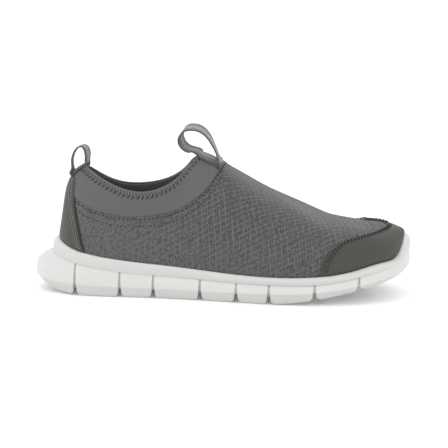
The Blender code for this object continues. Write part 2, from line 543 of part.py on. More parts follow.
def instep_row(x, width, shift, lift):
    """four points across the instep at one x, on the layer that lies over the ridge"""
    angles, steps = [], []
    for away in shift + width * np.array(WEBBING_SHARES):
        angle, step = np.interp(x, ridge_x(np.arange(90, 130.0)) * SHOE_LENGTH, np.arange(90, 130.0)), 0.95
        for _ in range(12):
            side = np.array([angle, angle + 0.1, angle])
            side = side if away < 0 else 360 - side
            points = upper_point(side, np.array([step, step, step - 0.001]))[:, :2]
            slopes = np.stack([points[1] - points[0], points[0] - points[2]], -1) / [0.1, 0.001]
            target = np.array([x, ridge_y(angle) * BALL_WIDTH + away])
            change = np.linalg.solve(slopes, target - points[0])
            angle, step = angle + change[0], min(step + change[1], 1.0)
        angles.append(angle if away < 0 else 360 - angle)
        steps.append(step)
    return lifted(angles, steps, lift)


def heel_row(step, width, lift):
    """four points across the heel at one step of its section"""
    angles = np.linspace(0, 30, 121)
    across = np.abs(upper_point(angles, np.full(len(angles), step))[:, 1])
    away = width * np.array(WEBBING_SHARES)
    found = np.interp(np.abs(away), across, angles)
    return lifted(np.where(away < 0, found, 360 - found), np.full(len(away), step), lift)


def pull_loop(name, layer, free, height, width):
    """a closed ring of webbing: a layer on the shoe, from its back end to its front end, and a free part"""
    layer = [np.array(row) for row in layer]
    back, front = layer[0].mean(0), layer[-1].mean(0)
    middles = [front + along * (back - front) + up * height * np.array([0, 0, 1]) for along, up, _, _ in free]
    path = [front] + middles + [back]
    rows = layer[-2:]
    for k, (_, _, lean, yaw) in enumerate(free):
        rows.append(np.array(webbing_row(middles[k], unit(path[k + 2] - path[k]), lean, yaw, width)))
    outward = unit(layer[0].mean(0) - layer[1].mean(0))
    away = unit(middles[-1] - back)
    away = unit(away - outward * np.dot(away, outward)) * FOLD_GAP
    rows.append(layer[0] + away)
    middles = np.array([row.mean(0) for row in rows])
    places = np.r_[0, np.cumsum(np.linalg.norm(np.diff(middles, axis=0), axis=1))]
    smooth = curve(places, np.array(rows).reshape(len(rows), -1))
    steps = np.concatenate([np.linspace(a, b, FREE_STEPS + 1)[1:] for a, b in zip(places[1:], places[2:])])
    free_rows = list(smooth(steps).reshape(-1, len(WEBBING_SHARES), 3))
    fold = layer[0] + away / 2 + outward * FOLD_GAP / 2
    bm = bmesh.new()
    grid(bm, layer + free_rows + [fold], closed=True)
    obj = new_object(name, bm)
    thicken(obj, WEBBING_THICKNESS, 0)


def make_loops():
    lift = 2 * FIT_GAP + PANEL_THICKNESS + WEBBING_SEAT + WEBBING_THICKNESS / 2
    strip = INSTEP_WEBBING_WIDTH
    pull_loop("instep_loop", [instep_row(x * SHOE_LENGTH, strip, y * BALL_WIDTH, lift) for x, y in INSTEP_LAYER],
              INSTEP_LOOP, INSTEP_LOOP_HEIGHT, INSTEP_WEBBING_WIDTH)
    pull_loop("heel_loop", [heel_row(step, HEEL_WEBBING_WIDTH, lift) for step in HEEL_LAYER],
              HEEL_LOOP, HEEL_LOOP_HEIGHT, HEEL_WEBBING_WIDTH)


for old in list(bpy.data.objects):
    bpy.data.objects.remove(old, do_unlink=True)
shoe = bpy.data.collections.new("slip_on_shoe")
bpy.context.scene.collection.children.link(shoe)
make_sole()
make_insole()
make_upper()
make_overlays()
make_loops()
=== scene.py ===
"""Looks of the right slip-on sports shoe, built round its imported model: the camera, the fabrics and their
stitching, the moulded sole, light and floor. Metres, +X to the toe, +Z up, the outer side at -Y."""

import bmesh
import bpy
import numpy as np
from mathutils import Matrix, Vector


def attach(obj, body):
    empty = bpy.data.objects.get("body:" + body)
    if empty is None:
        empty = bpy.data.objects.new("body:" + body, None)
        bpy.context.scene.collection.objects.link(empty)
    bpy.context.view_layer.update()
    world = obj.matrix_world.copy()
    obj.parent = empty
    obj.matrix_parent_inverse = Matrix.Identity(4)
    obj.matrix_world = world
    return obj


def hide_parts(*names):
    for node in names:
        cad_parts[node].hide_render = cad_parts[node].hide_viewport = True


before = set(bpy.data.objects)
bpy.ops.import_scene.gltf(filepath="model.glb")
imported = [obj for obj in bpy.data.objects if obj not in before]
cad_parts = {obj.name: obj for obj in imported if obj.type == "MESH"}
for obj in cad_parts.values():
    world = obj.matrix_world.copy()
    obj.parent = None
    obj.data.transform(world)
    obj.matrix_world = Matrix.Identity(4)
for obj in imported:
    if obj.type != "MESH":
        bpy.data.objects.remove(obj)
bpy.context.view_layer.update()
scene = bpy.context.scene

# Sizes and tables of the part, repeated
SHOE_LENGTH = 0.298
BALL_WIDTH = 0.093
HEEL_FLARE = 0.0202
TOE_BUMPER = 0.0055
SIDE_FLARE = 0.0065
RIM_THICKNESS = 0.0032
RIM_HEIGHT = 0.0418
TOE_SPRING = 0.019
HEEL_LIFT = 0.0065
HEEL_STACK = 0.0262
BEVEL_HEIGHT = 0.0032
FLEX_GROOVE_WIDTH = 0.0044
FLEX_GROOVE_DEPTH = 0.0055
FLEX_GROOVE_INSET = 0.0038
LONG_GROOVE_DEPTH = 0.004
BLOCK_ROUND = 0.0024
COLLAR_HEIGHT = 0.0978
COLLAR_WIDTH = 0.054
INSTEP_HEIGHT = 0.1085
COLLAR_WALL = 0.003
VAMP_WALL = 0.002
UPPER_TAPER = 0.001
INSOLE_THICKNESS = 0.0035
INSOLE_INSET = 0.0062
PANEL_THICKNESS = 0.0008
CAP_THICKNESS = 0.001
COUNTER_THICKNESS = 0.001
WEBBING_THICKNESS = 0.0012
INSTEP_WEBBING_WIDTH = 0.0122
HEEL_WEBBING_WIDTH = 0.0136
INSTEP_LOOP_HEIGHT = 0.0225
HEEL_LOOP_HEIGHT = 0.015
FIT_GAP = 0.0003

PLAN = [  # angle, outer side of BALL_WIDTH, inner side of BALL_WIDTH
    (0, 0, 0), (15, 0.183, 0.183), (30, 0.317, 0.317), (45, 0.366, 0.366), (60, 0.376, 0.35), (75, 0.387, 0.333),
    (90, 0.43, 0.36), (105, 0.484, 0.441), (120, 0.5, 0.5), (135, 0.435, 0.489), (150, 0.32, 0.412),
    (165, 0.145, 0.268), (180, -0.065, 0.065)]
SIDE = [  # angle, rim top, rim low, flare line, footbed, underside at the toe and at the heel
    (0, 1, 0.76, 0.33, 1.03, 0, 1), (15, 0.957, 0.716, 0.3, 1, 0, 0.75), (30, 0.842, 0.622, 0.25, 0.973, 0, 0.24),
    (45, 0.737, 0.531, 0.218, 0.935, 0, 0), (60, 0.658, 0.445, 0.196, 0.82, 0, 0),
    (75, 0.593, 0.409, 0.194, 0.706, 0, 0), (90, 0.522, 0.361, 0.189, 0.603, 0, 0),
    (105, 0.488, 0.35, 0.206, 0.557, -0.01, 0), (120, 0.514, 0.378, 0.244, 0.588, 0.14, 0),
    (135, 0.6, 0.485, 0.335, 0.695, 0.42, 0), (150, 0.73, 0.612, 0.44, 0.84, 0.645, 0),
    (165, 0.824, 0.72, 0.535, 0.973, 0.86, 0), (180, 1.16, 0.88, 0.62, 1.03, 1, 0)]
LEVELS = [  # back, front, side, rim side, underside, flare line, rim low, rim top, bevel, half slot, cut
    (0.57, -0.48, 0.49, 0, 1, 0, 0, 0, 0, 0.5, 1), (0.8, 0.62, 0.8, 0, 1, 0, 0, 0, 1, 0.36, 1),
    (1, 1, 1, 0, 0, 1, 0, 0, 0, 0.27, 0.9), (0.95, 1, 0.82, 0, 0, 0.38, 0.62, 0, 0, 0.2, 0.7),
    (0.29, 0.95, 0, 0.7, 0, 0, 1, 0, 0, 0.16, 0.5), (0.3, 1, 0, 0.9, 0, 0, 1, 0, 0, 0.16, 0),
    (0.28, 1, 0, 1.1, 0, 0, 0.45, 0.55, 0, 0.16, 0), (0.17, 0.62, 0, 0.75, 0, 0, 0.06, 0.94, 0, 0.16, 0),
    (0, 0, 0, 0, 0, 0, 0, 1, 0, 0.16, 0)]
FLEX_GROOVES = [0.13, 0.25, 0.339, 0.463, 0.5585, 0.644, 0.761, 0.872]
LONG_GROOVES = [(0.27, 0.35), (0.65, 0.73)]
COLLAR = [  # angle, x, half width, z of COLLAR_HEIGHT, z of INSTEP_HEIGHT, drop of the inner side
    (0, 0.142, 0, 1, 0, 0), (14, 0.158, 0.205, 0.985, 0, 0.032), (28, 0.2, 0.385, 0.92, 0, 0.054),
    (42, 0.254, 0.48, 0.856, 0, 0.026), (56, 0.312, 0.5, 0.836, 0, -0.01), (68, 0.364, 0.43, 0.64, 0.213, -0.026),
    (78, 0.401, 0.3, 0.3, 0.592, -0.032), (86, 0.4245, 0.18, 0.08, 0.87, -0.022), (92, 0.44, 0.075, 0, 0.982, 0),
    (96, 0.446, 0, 0, 0.99, 0)]
COLLAR_SHAPE = [  # angle, lean at the edge, bulge at the rim, low handle, high handle
    (0, 64, -11, 0.62, 0.36), (14, 46, -8, 0.52, 0.3), (28, 24, -1, 0.4, 0.3), (42, 14, 2, 0.36, 0.3),
    (56, 14, 3, 0.36, 0.3), (68, 20, 2, 0.36, 0.3), (78, 34, 2, 0.38, 0.32), (86, 52, 3, 0.4, 0.36),
    (92, 68, 4, 0.42, 0.4), (96, 80, 5, 0.42, 0.42)]
COLLAR_FRONT = COLLAR[-1][0]
TURN_START = 50
RIDGE = [  # angle, x, y, z
    (COLLAR_FRONT, 0.446, 0.03, 0.99), (103, 0.48, 0.045, 0.962), (111, 0.53, 0.056, 0.895), (120, 0.597, 0.062, 0.79),
    (129, 0.668, 0.064, 0.692), (138, 0.735, 0.064, 0.6), (147, 0.795, 0.064, 0.549), (156, 0.852, 0.064, 0.521),
    (164, 0.896, 0.065, 0.518), (172, 0.932, 0.065, 0.506), (180, 0.961, 0.065, 0.48)]
RIDGE_SHAPE = [  # angle, bulge at the rim, low handle, high handle
    (COLLAR_FRONT, 5, 0.42, 0.34), (111, 7, 0.42, 0.36), (129, 10, 0.44, 0.4), (147, 12, 0.46, 0.42),
    (164, 10, 0.46, 0.4), (180, 4, 0.36, 0.36)]
PANEL_SEAM = [  # x, z of INSTEP_HEIGHT
    (0.08, 0.73), (0.124, 0.682), (0.164, 0.629), (0.208, 0.596), (0.251, 0.577), (0.304, 0.577), (0.356, 0.595),
    (0.409, 0.64), (0.46, 0.739), (0.495, 0.856), (0.52, 1)]
CAP_SEAM = [  # z of INSTEP_HEIGHT, x of SHOE_LENGTH
    (0.1, 0.7685), (0.191, 0.77), (0.262, 0.7745), (0.308, 0.78), (0.345, 0.788), (0.381, 0.799), (0.412, 0.8115),
    (0.431, 0.825), (0.443, 0.841), (0.454, 0.861), (0.464, 0.881), (0.475, 0.91), (0.49, 0.93), (0.515, 0.943),
    (0.56, 0.96)]
COUNTER_SEAM = [  # z of INSTEP_HEIGHT, x
    (0.25, 0.162), (0.317, 0.153), (0.381, 0.145), (0.453, 0.139), (0.525, 0.132), (0.596, 0.125), (0.661, 0.121),
    (0.72, 0.1195), (0.784, 0.119), (0.87, 0.113)]
COUNTER_TOP = 0.826
CAP_INNER_REACH = 0.064
CAP_TURN_WIDTH = 0.14
CAP_TURN_START = 0.045
HEEL_LOOP = [  # along the layer, up, lean, yaw
    (-0.11, 0.15, 0, 4), (-0.14, 0.36, 0, 5), (-0.11, 0.62, 0, 6), (0.01, 0.89, 0, 6), (0.22, 1.09, 0, 3),
    (0.5, 1.19, 0, -1), (0.75, 1.17, 0, -4), (0.97, 1.02, 0, -6), (1.08, 0.74, 0, -7), (1.06, 0.38, 0, -6)]
INSTEP_LOOP = [  # along the layer, up, lean, yaw
    (-0.25, 0.05, 14, 5), (-0.53, 0.01, 17, 8), (-0.83, -0.02, 18, 12), (-1.09, 0.03, 17, 14), (-1.23, 0.17, 17, 14),
    (-1.2, 0.39, 18, 10), (-1, 0.61, 18, 5), (-0.64, 0.77, 18, 0), (-0.22, 0.85, 18, -3), (0.19, 0.81, 17, -6),
    (0.52, 0.64, 16, -8), (0.745, 0.44, 14, -8), (0.905, 0.27, 12, -4)]
HEEL_LAYER = [0.755, 0.8, 0.85, 0.9, 0.95, 0.985]
INSTEP_LAYER = [  # x, inward of the ridge of BALL_WIDTH
    (0.498, -0.13), (0.487, -0.11), (0.476, -0.088), (0.466, -0.068), (0.457, -0.05), (0.451, -0.038)]
WEBBING_SEAT = 0.0002
FOLD_GAP = 0.0021
FOOTBED_LEVEL = (-UPPER_TAPER / HEEL_FLARE, -UPPER_TAPER / TOE_BUMPER, 0, -UPPER_TAPER / RIM_THICKNESS,
                 0, 0, 0, 0, 0, 0.16, 0)
GROOVE_REACH = 0.65
LEVEL_STEP = 0.0004
LONG_SLOPE = 0.015


# The part's own functions, repeated

def curve(xs, ys):
    """a natural cubic spline through a few chosen points, as a function"""
    xs, ys = np.array(xs, float), np.array(ys, float)
    n, h = len(xs), np.diff(xs)
    system, right = np.eye(n), np.zeros(ys.shape)
    for i in range(1, n - 1):
        system[i, i - 1:i + 2] = h[i - 1], 2 * (h[i - 1] + h[i]), h[i]
        right[i] = 6 * ((ys[i + 1] - ys[i]) / h[i] - (ys[i] - ys[i - 1]) / h[i - 1])
    bend = np.linalg.solve(system, right)

    def at(x):
        x = np.clip(np.asarray(x, float), xs[0], xs[-1])
        i = np.clip(np.searchsorted(xs, x) - 1, 0, n - 2)
        a, b, step = (xs[i + 1] - x) / h[i], (x - xs[i]) / h[i], h[i]
        if ys.ndim > 1:
            a, b, step = a[..., None], b[..., None], step[..., None]
        return a * ys[i] + b * ys[i + 1] + ((a**3 - a) * bend[i] + (b**3 - b) * bend[i + 1]) * step**2 / 6
    return at


def columns(table, middle, odd_column=0):
    rows = np.array(table, float)
    mirrored = rows.copy()
    mirrored[:, 0] = 2 * middle - rows[:, 0]
    if odd_column:
        mirrored[:, odd_column] *= -1
    rows = np.concatenate([rows, mirrored[rows[:, 0] != middle]])
    rows = rows[np.argsort(rows[:, 0])]
    return [curve(rows[:, 0], rows[:, k]) for k in range(1, rows.shape[1])]


def round_the_shoe(outer, inner):
    angles = np.array([row[0] for row in PLAN], float)
    angles, values = np.r_[angles, 360 - angles[-2:0:-1]], np.r_[outer, inner[-2:0:-1]]
    return curve(np.r_[angles - 360, angles, angles + 360], np.r_[values, values, values])


plan, side = np.array(PLAN), np.array(SIDE)
half_width = round_the_shoe(-plan[:, 1] * BALL_WIDTH, plan[:, 2] * BALL_WIDTH)
side_sizes = [RIM_HEIGHT, RIM_HEIGHT, RIM_HEIGHT, HEEL_STACK, TOE_SPRING, HEEL_LIFT]
rim_top, rim_low, flare_line, footbed, toe_lift, heel_lift = [
    round_the_shoe(side[:, k + 1] * size, side[:, k + 1] * size) for k, size in enumerate(side_sizes)]


def middle_and_half(back, front):
    low, high = HEEL_FLARE - back, SHOE_LENGTH - TOE_BUMPER + front
    return (low + high) / 2, (high - low) / 2


def ring(angles, back, front, out):
    middle, half = middle_and_half(back, front)
    return middle - half * np.cos(np.radians(angles)), half_width(np.mod(angles, 360)) * (1 + 2 * out / BALL_WIDTH)


def inset_ring(angles, inset):
    return ring(angles, -inset, -inset, -inset)


def angle_at(x, back, front):
    middle, half = middle_and_half(back, front)
    return np.degrees(np.arccos(np.clip((middle - x) / half, -1, 1)))


def underside(angles):
    return np.maximum(toe_lift(angles), 0) + np.maximum(heel_lift(angles), 0)


def footbed_at(x):
    return footbed(angle_at(x, -UPPER_TAPER, -UPPER_TAPER))


widest_line = ring(np.arange(0, 360, 1.0), HEEL_FLARE, TOE_BUMPER, SIDE_FLARE)[1]
ORIGIN = np.array([SHOE_LENGTH / 2, (widest_line.max() + widest_line.min()) / 2, 0.0])
collar_x, collar_half, collar_heel_z, collar_instep_z, collar_drop = columns(COLLAR, 0, odd_column=2)
collar_lean, collar_bulge, collar_low, collar_high = columns(COLLAR_SHAPE, 0)
ridge_x, ridge_y, ridge_z = columns(RIDGE, 180)
ridge_bulge, ridge_low, ridge_high = columns(RIDGE_SHAPE, 180)


def unit(vectors):
    return vectors / np.maximum(np.linalg.norm(vectors, axis=-1, keepdims=True), 1e-12)


def edge_point(angles):
    a, sign = np.minimum(angles, 360 - angles), np.where(angles > 180, 1.0, -1.0)
    middle = ridge_y(a) * BALL_WIDTH * np.clip(a / COLLAR_FRONT, 0, 1)**2
    drop = np.where(sign > 0, collar_drop(a), 0.0)
    collar = np.stack([collar_x(a) * SHOE_LENGTH, sign * collar_half(a) * COLLAR_WIDTH + middle,
                       (collar_heel_z(a) - drop) * COLLAR_HEIGHT + collar_instep_z(a) * INSTEP_HEIGHT], -1)
    ridge = np.stack([ridge_x(a) * SHOE_LENGTH, ridge_y(a) * BALL_WIDTH, ridge_z(a) * INSTEP_HEIGHT], -1)
    return np.where((a < COLLAR_FRONT)[..., None], collar, ridge)


def section(angles):
    a = np.minimum(angles, 360 - angles)

    def either(collar, ridge):
        return np.where(a < COLLAR_FRONT, collar(a), ridge(a))[..., None]
    low = np.stack([*inset_ring(angles, FIT_GAP), rim_top(angles)], -1)
    ahead, behind = ring(angles + 0.5, 0, 0, 0), ring(angles - 0.5, 0, 0, 0)
    inward = unit(np.stack([behind[1] - ahead[1], ahead[0] - behind[0], 0 * ahead[0]], -1))
    high = edge_point(angles)
    reach = np.linalg.norm(high - low, axis=-1, keepdims=True)
    up = np.array([0.0, 0.0, 1.0])
    bulge = np.radians(either(collar_bulge, ridge_bulge))
    lean = np.radians(collar_lean(a))[..., None]
    straight = unit((high - low) * [1, 1, 0] + [0, 0, 1e-9])
    turned = np.clip((a - TURN_START) / (COLLAR_FRONT - TURN_START), 0, 1)[..., None]
    across = unit(inward * (1 - turned) + straight * turned)
    over_collar = np.cos(lean) * up + np.sin(lean) * across
    b = np.clip(a, COLLAR_FRONT + 0.5, 179.5)
    slope = ((ridge_z(b + 0.5) - ridge_z(b - 0.5)) * INSTEP_HEIGHT
             / ((ridge_x(b + 0.5) - ridge_x(b - 0.5)) * SHOE_LENGTH))[..., None]
    over_ridge = unit(across + across[..., :1] * slope * up)
    leaving = np.cos(bulge) * up - np.sin(bulge) * inward
    arriving = np.where((a < COLLAR_FRONT)[..., None], over_collar, over_ridge)
    low_handle, high_handle = either(collar_low, ridge_low) * reach, either(collar_high, ridge_high) * reach
    return low, low + leaving * low_handle, high - arriving * high_handle, high


def upper_point(angles, steps):
    angles, steps = np.broadcast_arrays(np.asarray(angles, float), np.asarray(steps, float))
    p, q, r, s = section(angles)
    t = np.clip(steps, 0, 1)[..., None]
    above = (1 - t)**3 * p + 3 * (1 - t)**2 * t * q + 3 * (1 - t) * t**2 * r + t**3 * s
    x, y = inset_ring(angles, UPPER_TAPER + FIT_GAP)
    foot = np.stack([x, y, footbed_at(x) + FIT_GAP], -1)
    return np.where((steps < 0)[..., None], p + (foot - p) * -steps[..., None], above)


def upper_normal(angles, steps):
    angles, steps = np.broadcast_arrays(np.asarray(angles, float), np.asarray(steps, float))
    steps = np.clip(steps, 0.012, 0.985)
    along = upper_point(angles + 0.3, steps) - upper_point(angles - 0.3, steps)
    up = upper_point(angles, steps + 0.008) - upper_point(angles, steps - 0.008)
    return unit(np.cross(along, up))


panel_seam_z = curve(*(np.array(PANEL_SEAM).T * [[SHOE_LENGTH], [INSTEP_HEIGHT]]))
cap_seam_x, counter_seam_x = (
    curve(*(np.array(seam).T * [[INSTEP_HEIGHT], [SHOE_LENGTH]])) for seam in (CAP_SEAM, COUNTER_SEAM))


def above_panel_seam(p):
    return p[..., 2] - panel_seam_z(p[..., 0])


def ahead_of_cap_seam(p):
    share = np.clip((p[..., 1] / BALL_WIDTH - CAP_TURN_START) / CAP_TURN_WIDTH, 0, 1)
    return p[..., 0] - cap_seam_x(p[..., 2]) + CAP_INNER_REACH * SHOE_LENGTH * share**2 * (3 - 2 * share)


def inside_counter(p):
    return np.minimum(counter_seam_x(p[..., 2]) - p[..., 0], COUNTER_TOP * INSTEP_HEIGHT - p[..., 2])


# Meshes

WELD_DISTANCE = 1e-5


def new_piece(name, points, faces, uv, *materials, material_of=None):
    """an object of the shoe from corners in the part's own frame, faces and one uv pair a corner"""
    mesh = bpy.data.meshes.new(name)
    mesh.from_pydata((np.reshape(points, (-1, 3)) - ORIGIN).tolist(), [], faces)
    mesh.validate()
    if uv is not None:
        layer = mesh.uv_layers.new(name="cloth")
        index = np.empty(len(mesh.loops), int)
        mesh.loops.foreach_get("vertex_index", index)
        layer.data.foreach_set("uv", np.reshape(uv, (-1, 2)).astype(np.float32)[index].ravel())
    for material in materials:
        mesh.materials.append(material)
    if material_of is not None:
        mesh.polygons.foreach_set("material_index", np.asarray(material_of, np.int32))
    mesh.shade_smooth()
    obj = bpy.data.objects.new(name, mesh)
    scene.collection.objects.link(obj)
    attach(obj, "root")
    return obj


def grid_faces(rows, cols, closed=False, start=0):
    """quads over a grid of corners, its rows joined end to start when closed"""
    faces = []
    for i in range(rows if closed else rows - 1):
        j = (i + 1) % rows
        faces += [(start + i * cols + k, start + j * cols + k, start + j * cols + k + 1, start + i * cols + k + 1)
                  for k in range(cols - 1)]
    return faces


def edit_mesh(obj, change):
    """runs one change of an object's bmesh"""
    bm = bmesh.new()
    bm.from_mesh(obj.data)
    change(bm)
    bm.to_mesh(obj.data)
    bm.free()


def weld(obj):
    """joins corners that lie together"""
    def join(bm):
        bmesh.ops.remove_doubles(bm, verts=bm.verts, dist=WELD_DISTANCE)
        bmesh.ops.dissolve_degenerate(bm, edges=bm.edges, dist=WELD_DISTANCE / 2)
    edit_mesh(obj, join)
    obj.data.shade_smooth()


def face_outward(obj):
    edit_mesh(obj, lambda bm: bmesh.ops.recalc_face_normals(bm, faces=bm.faces))


def arc_lengths(points):
    """distances along lines of points, from 0 at each line's first"""
    gaps = np.linalg.norm(np.diff(points, axis=-2), axis=-1)
    return np.concatenate([0 * gaps[..., :1], gaps.cumsum(-1)], -1)


def first_crossing(field, angles, upward, count=240):
    """for each angle the step at which the field changes its sign, read up the section or down from the edge"""
    steps = np.linspace(0, 1, count)
    found = []
    for row in field(upper_point(angles[:, None], steps)):
        change = np.nonzero(row[:-1] * row[1:] < 0)[0]
        if not len(change):
            found.append(1.0 if row[0] > 0 and upward else 0.0)
            continue
        k = change[0] if upward else change[-1]
        found.append(steps[k] + (steps[1] - steps[0]) * row[k] / (row[k] - row[k + 1]))
    return np.array(found)


# Materials

ALBEDO = 0.74        # how much darker the finishes are than they look in this light
COLUMN_PITCH = 0.0047
ROW_PITCH = 0.00455


def srgb(*values):
    """linear colour with its alpha, from values as they look on screen, 0 to 255"""
    share = np.array(values, float) / 255
    linear = np.where(share <= 0.04045, share / 12.92, ((share + 0.055) / 1.055)**2.4)
    return (*(float(v) * ALBEDO for v in linear), 1)


def grey(value, tint=0):
    return srgb(value + tint, value, value - tint)


class Graph:
    """a node material with short ways to add its nodes"""

    def __init__(self, name, roughness=0.8, sheen=0):
        self.material = bpy.data.materials.new(name)
        self.material.use_nodes = True
        self.tree = self.material.node_tree
        self.shader = self.tree.nodes["Principled BSDF"]
        for socket, value in (("Roughness", roughness), ("Sheen Weight", sheen), ("Sheen Roughness", 0.5)):
            self.shader.inputs[socket].default_value = value

    def put(self, value, socket):
        if isinstance(value, bpy.types.NodeSocket):
            self.tree.links.new(value, socket)
        else:
            socket.default_value = value

    def node(self, kind, inputs=None, **settings):
        node = self.tree.nodes.new("ShaderNode" + kind)
        for name, value in settings.items():
            setattr(node, name, value)
        for key, value in (inputs or {}).items():
            self.put(value, node.inputs[key])
        return node

    def math(self, operation, a, b=0, clamp=False):
        return self.node("Math", {0: a, 1: b}, operation=operation, use_clamp=clamp).outputs[0]

    def times(self, first, *others):
        for value in others:
            first = self.math("MULTIPLY", first, value)
        return first

    def plus(self, a, b):
        return self.math("ADD", a, b)

    def flip(self, value):
        return self.math("SUBTRACT", 1, value)

    def uv(self):
        return self.node("SeparateXYZ", {0: self.node("UVMap", uv_map="cloth").outputs[0]}).outputs[:2]

    def place(self):
        return self.node("TexCoord").outputs["Object"]

    def xyz(self):
        return self.node("SeparateXYZ", {0: self.place()}).outputs

    def texture(self, kind, output, scale, inputs=None, **settings):
        inputs = {"Vector": self.place(), "Scale": scale, **(inputs or {})}
        return self.node("Tex" + kind, inputs, **settings).outputs[output]

    def noise(self, scale, detail=2):
        return self.texture("Noise", "Fac", scale, {"Detail": detail})

    def blend(self, share, a, b):
        return self.node("Mix", {0: share, 6: a, 7: b}, data_type="RGBA").outputs[2]

    def coats(self, colour, *coats):
        """a colour under coats of others, each with the mask that shows it and its strength"""
        for mask, strength, top in coats:
            colour = self.blend(self.times(mask, strength), colour, top)
        return colour

    def band(self, value, low, high):
        """0 below low and 1 above high, smooth between"""
        return self.node("MapRange", {"Value": value, "From Min": low, "From Max": high},
                         interpolation_type="SMOOTHSTEP").outputs[0]

    def line(self, value, pitch, half, soft):
        """1 on lines that lie a pitch apart, as wide as twice the half"""
        return self.flip(self.band(self.math("PINGPONG", value, pitch / 2), half - soft, half + soft))

    def finish(self, colour, height=None, distance=0.0003, strength=1, roughness=None):
        self.put(colour, self.shader.inputs["Base Color"])
        if roughness is not None:
            self.put(roughness, self.shader.inputs["Roughness"])
        if height is not None:
            bump = self.node("Bump", {"Height": height, "Distance": distance, "Strength": strength})
            self.put(bump.outputs[0], self.shader.inputs["Normal"])
        return self.material


def mesh_material():
    """an open knit: light threads in a net over darker ground, faint low at the back, in rows that rise to the toe"""
    g = Graph("mesh_fabric", 0.85, 0.15)
    u, v = g.uv()
    drift = g.times(g.math("SUBTRACT", g.noise(260, 1), 0.5), 0.0016)
    u, v = g.plus(u, drift), g.math("SUBTRACT", v, drift)
    up = g.line(u, COLUMN_PITCH, 0.00046, 0.00034)
    between = g.line(g.plus(u, COLUMN_PITCH / 2), COLUMN_PITCH, 0.00022, 0.00022)
    along = g.line(g.plus(v, ROW_PITCH / 2), ROW_PITCH, 0.00052, 0.0004)
    net = g.math("MAXIMUM", g.math("MAXIMUM", up, along), g.times(between, 0.55))
    speck = g.noise(520)
    x, _, z = g.xyz()
    lower = g.plus(0.62, g.times(g.band(z, 0.035, 0.062), 0.38))
    clear = g.math("ADD", 0.3, g.times(0.7, g.times(g.band(x, -0.085, 0.005), lower)), clamp=True)
    ground = g.times(g.flip(net), clear)
    colour = g.coats(
        g.blend(ground, grey(105), grey(80)), (g.times(net, clear), 0.34, grey(142)),
        (g.band(speck, 0.47, 0.66), 0.62, grey(54)), (g.band(g.noise(950), 0.52, 0.68), 0.46, grey(138)),
        (g.noise(60), 0.2, grey(78)))
    return g.finish(colour, g.plus(g.times(ground, -1), g.times(speck, -0.7)), 0.0005, 0.9)


def collar_material():
    g = Graph("collar_fabric", 0.8, 0.1)
    u, v = g.uv()
    knit = g.times(g.line(u, 0.0007, 0.00014, 0.00014), g.line(v, 0.0006, 0.00014, 0.00014))
    fine = g.noise(1300)
    colour = g.coats(grey(108), (knit, 0.3, grey(88)), (g.noise(30), 0.25, grey(99)),
                     (g.band(fine, 0.5, 0.75), 0.25, grey(84)))
    return g.finish(colour, g.plus(g.times(knit, -0.6), g.times(fine, 0.5)), 0.0002, 0.7)


def cap_material(name, colour_a, colour_b):
    g = Graph(name, 0.5)
    grain = g.band(g.texture("Voronoi", 0, 900, feature="DISTANCE_TO_EDGE"), 0, 0.12)
    soft = g.noise(35, 3)
    colour = g.coats(g.blend(soft, colour_a, colour_b), (g.flip(grain), 0.12, grey(60, 1)))
    height = g.plus(grain, g.times(g.noise(2500), 0.4))
    return g.finish(colour, height, 0.00008, 0.5, g.plus(0.42, g.times(soft, 0.2)))


def webbing_material():
    """slanted ribs, darker edges and a plain woven stripe of light dashes along the middle"""
    g = Graph("webbing", 0.75, 0.2)
    u, v = g.uv()
    across = g.math("ABSOLUTE", u)
    slanted = g.plus(v, g.math("ABSOLUTE", g.times(u, 0.9)))
    ribs = g.line(slanted, 0.0022, 0.0005, 0.0004)
    dashes = g.band(g.math("PINGPONG", slanted, 0.0011), 0.0002, 0.0005)
    colour = g.coats(
        grey(140), (ribs, 0.55, grey(100)), (g.line(u, 0.0015, 0.0004, 0.0003), 0.25, grey(96)),
        (g.band(across, 0.0046, 0.0052), 0.75, grey(58)),
        (g.times(g.flip(g.band(across, 0.0015, 0.0021)), dashes), 0.75, grey(196)))
    return g.finish(colour, g.plus(g.times(ribs, -1), g.times(g.noise(1800), 0.3)), 0.0003, 0.9)


def sole_material():
    """light moulded foam, with painted shade: a little darker below the flare line (level 2) and on the rim (levels 4
    to 7).
    Darker and warmer in soft patches within 2.5 mm of the floor"""
    g = Graph("sole_foam", 0.55)
    for socket, value in (("Weight", 0.35), ("Radius", (1, 1, 0.95)), ("Scale", 0.004)):
        g.shader.inputs["Subsurface " + socket].default_value = value
    level = g.uv()[1]
    fine = g.noise(1600, 3)
    soft = g.noise(25)
    height = g.plus(g.times(g.texture("Voronoi", "Distance", 1400), 0.6), fine)
    # painted shade: the rim and the zone below the flare line are tinted darker
    rim = g.times(g.band(level, 4.1, 4.4), g.flip(g.band(level, 6.6, 7.3)))
    colour = g.blend(soft, srgb(240, 239, 237), srgb(245, 244, 242))
    colour = g.blend(g.flip(g.band(level, 1.93, 2.05)), colour, srgb(230, 229, 227))
    colour = g.blend(rim, colour, srgb(235, 234, 232))
    # darker and warmer in soft patches within 2.5 mm of the floor
    near_floor = g.flip(g.band(g.xyz()[2], 0, 0.0025))
    colour = g.coats(colour, (g.band(fine, 0.45, 0.8), 0.12, srgb(200, 198, 192)),
                     (near_floor, g.times(soft, 0.25), srgb(190, 186, 178)))
    return g.finish(colour, height, 0.00005, 0.5, g.plus(0.48, g.times(fine, 0.15)))


def lining_material():
    g = Graph("lining_fabric", 0.95, 0.1)
    weave = g.texture("Wave", "Fac", 320, {"Distortion": 1.5, "Detail": 1.0})
    colour = g.coats(g.blend(weave, grey(40), grey(56)), (g.band(g.noise(520), 0.5, 0.66), 0.7, grey(92)))
    return g.finish(colour, g.plus(weave, g.noise(1400)), 0.0002, 0.6)


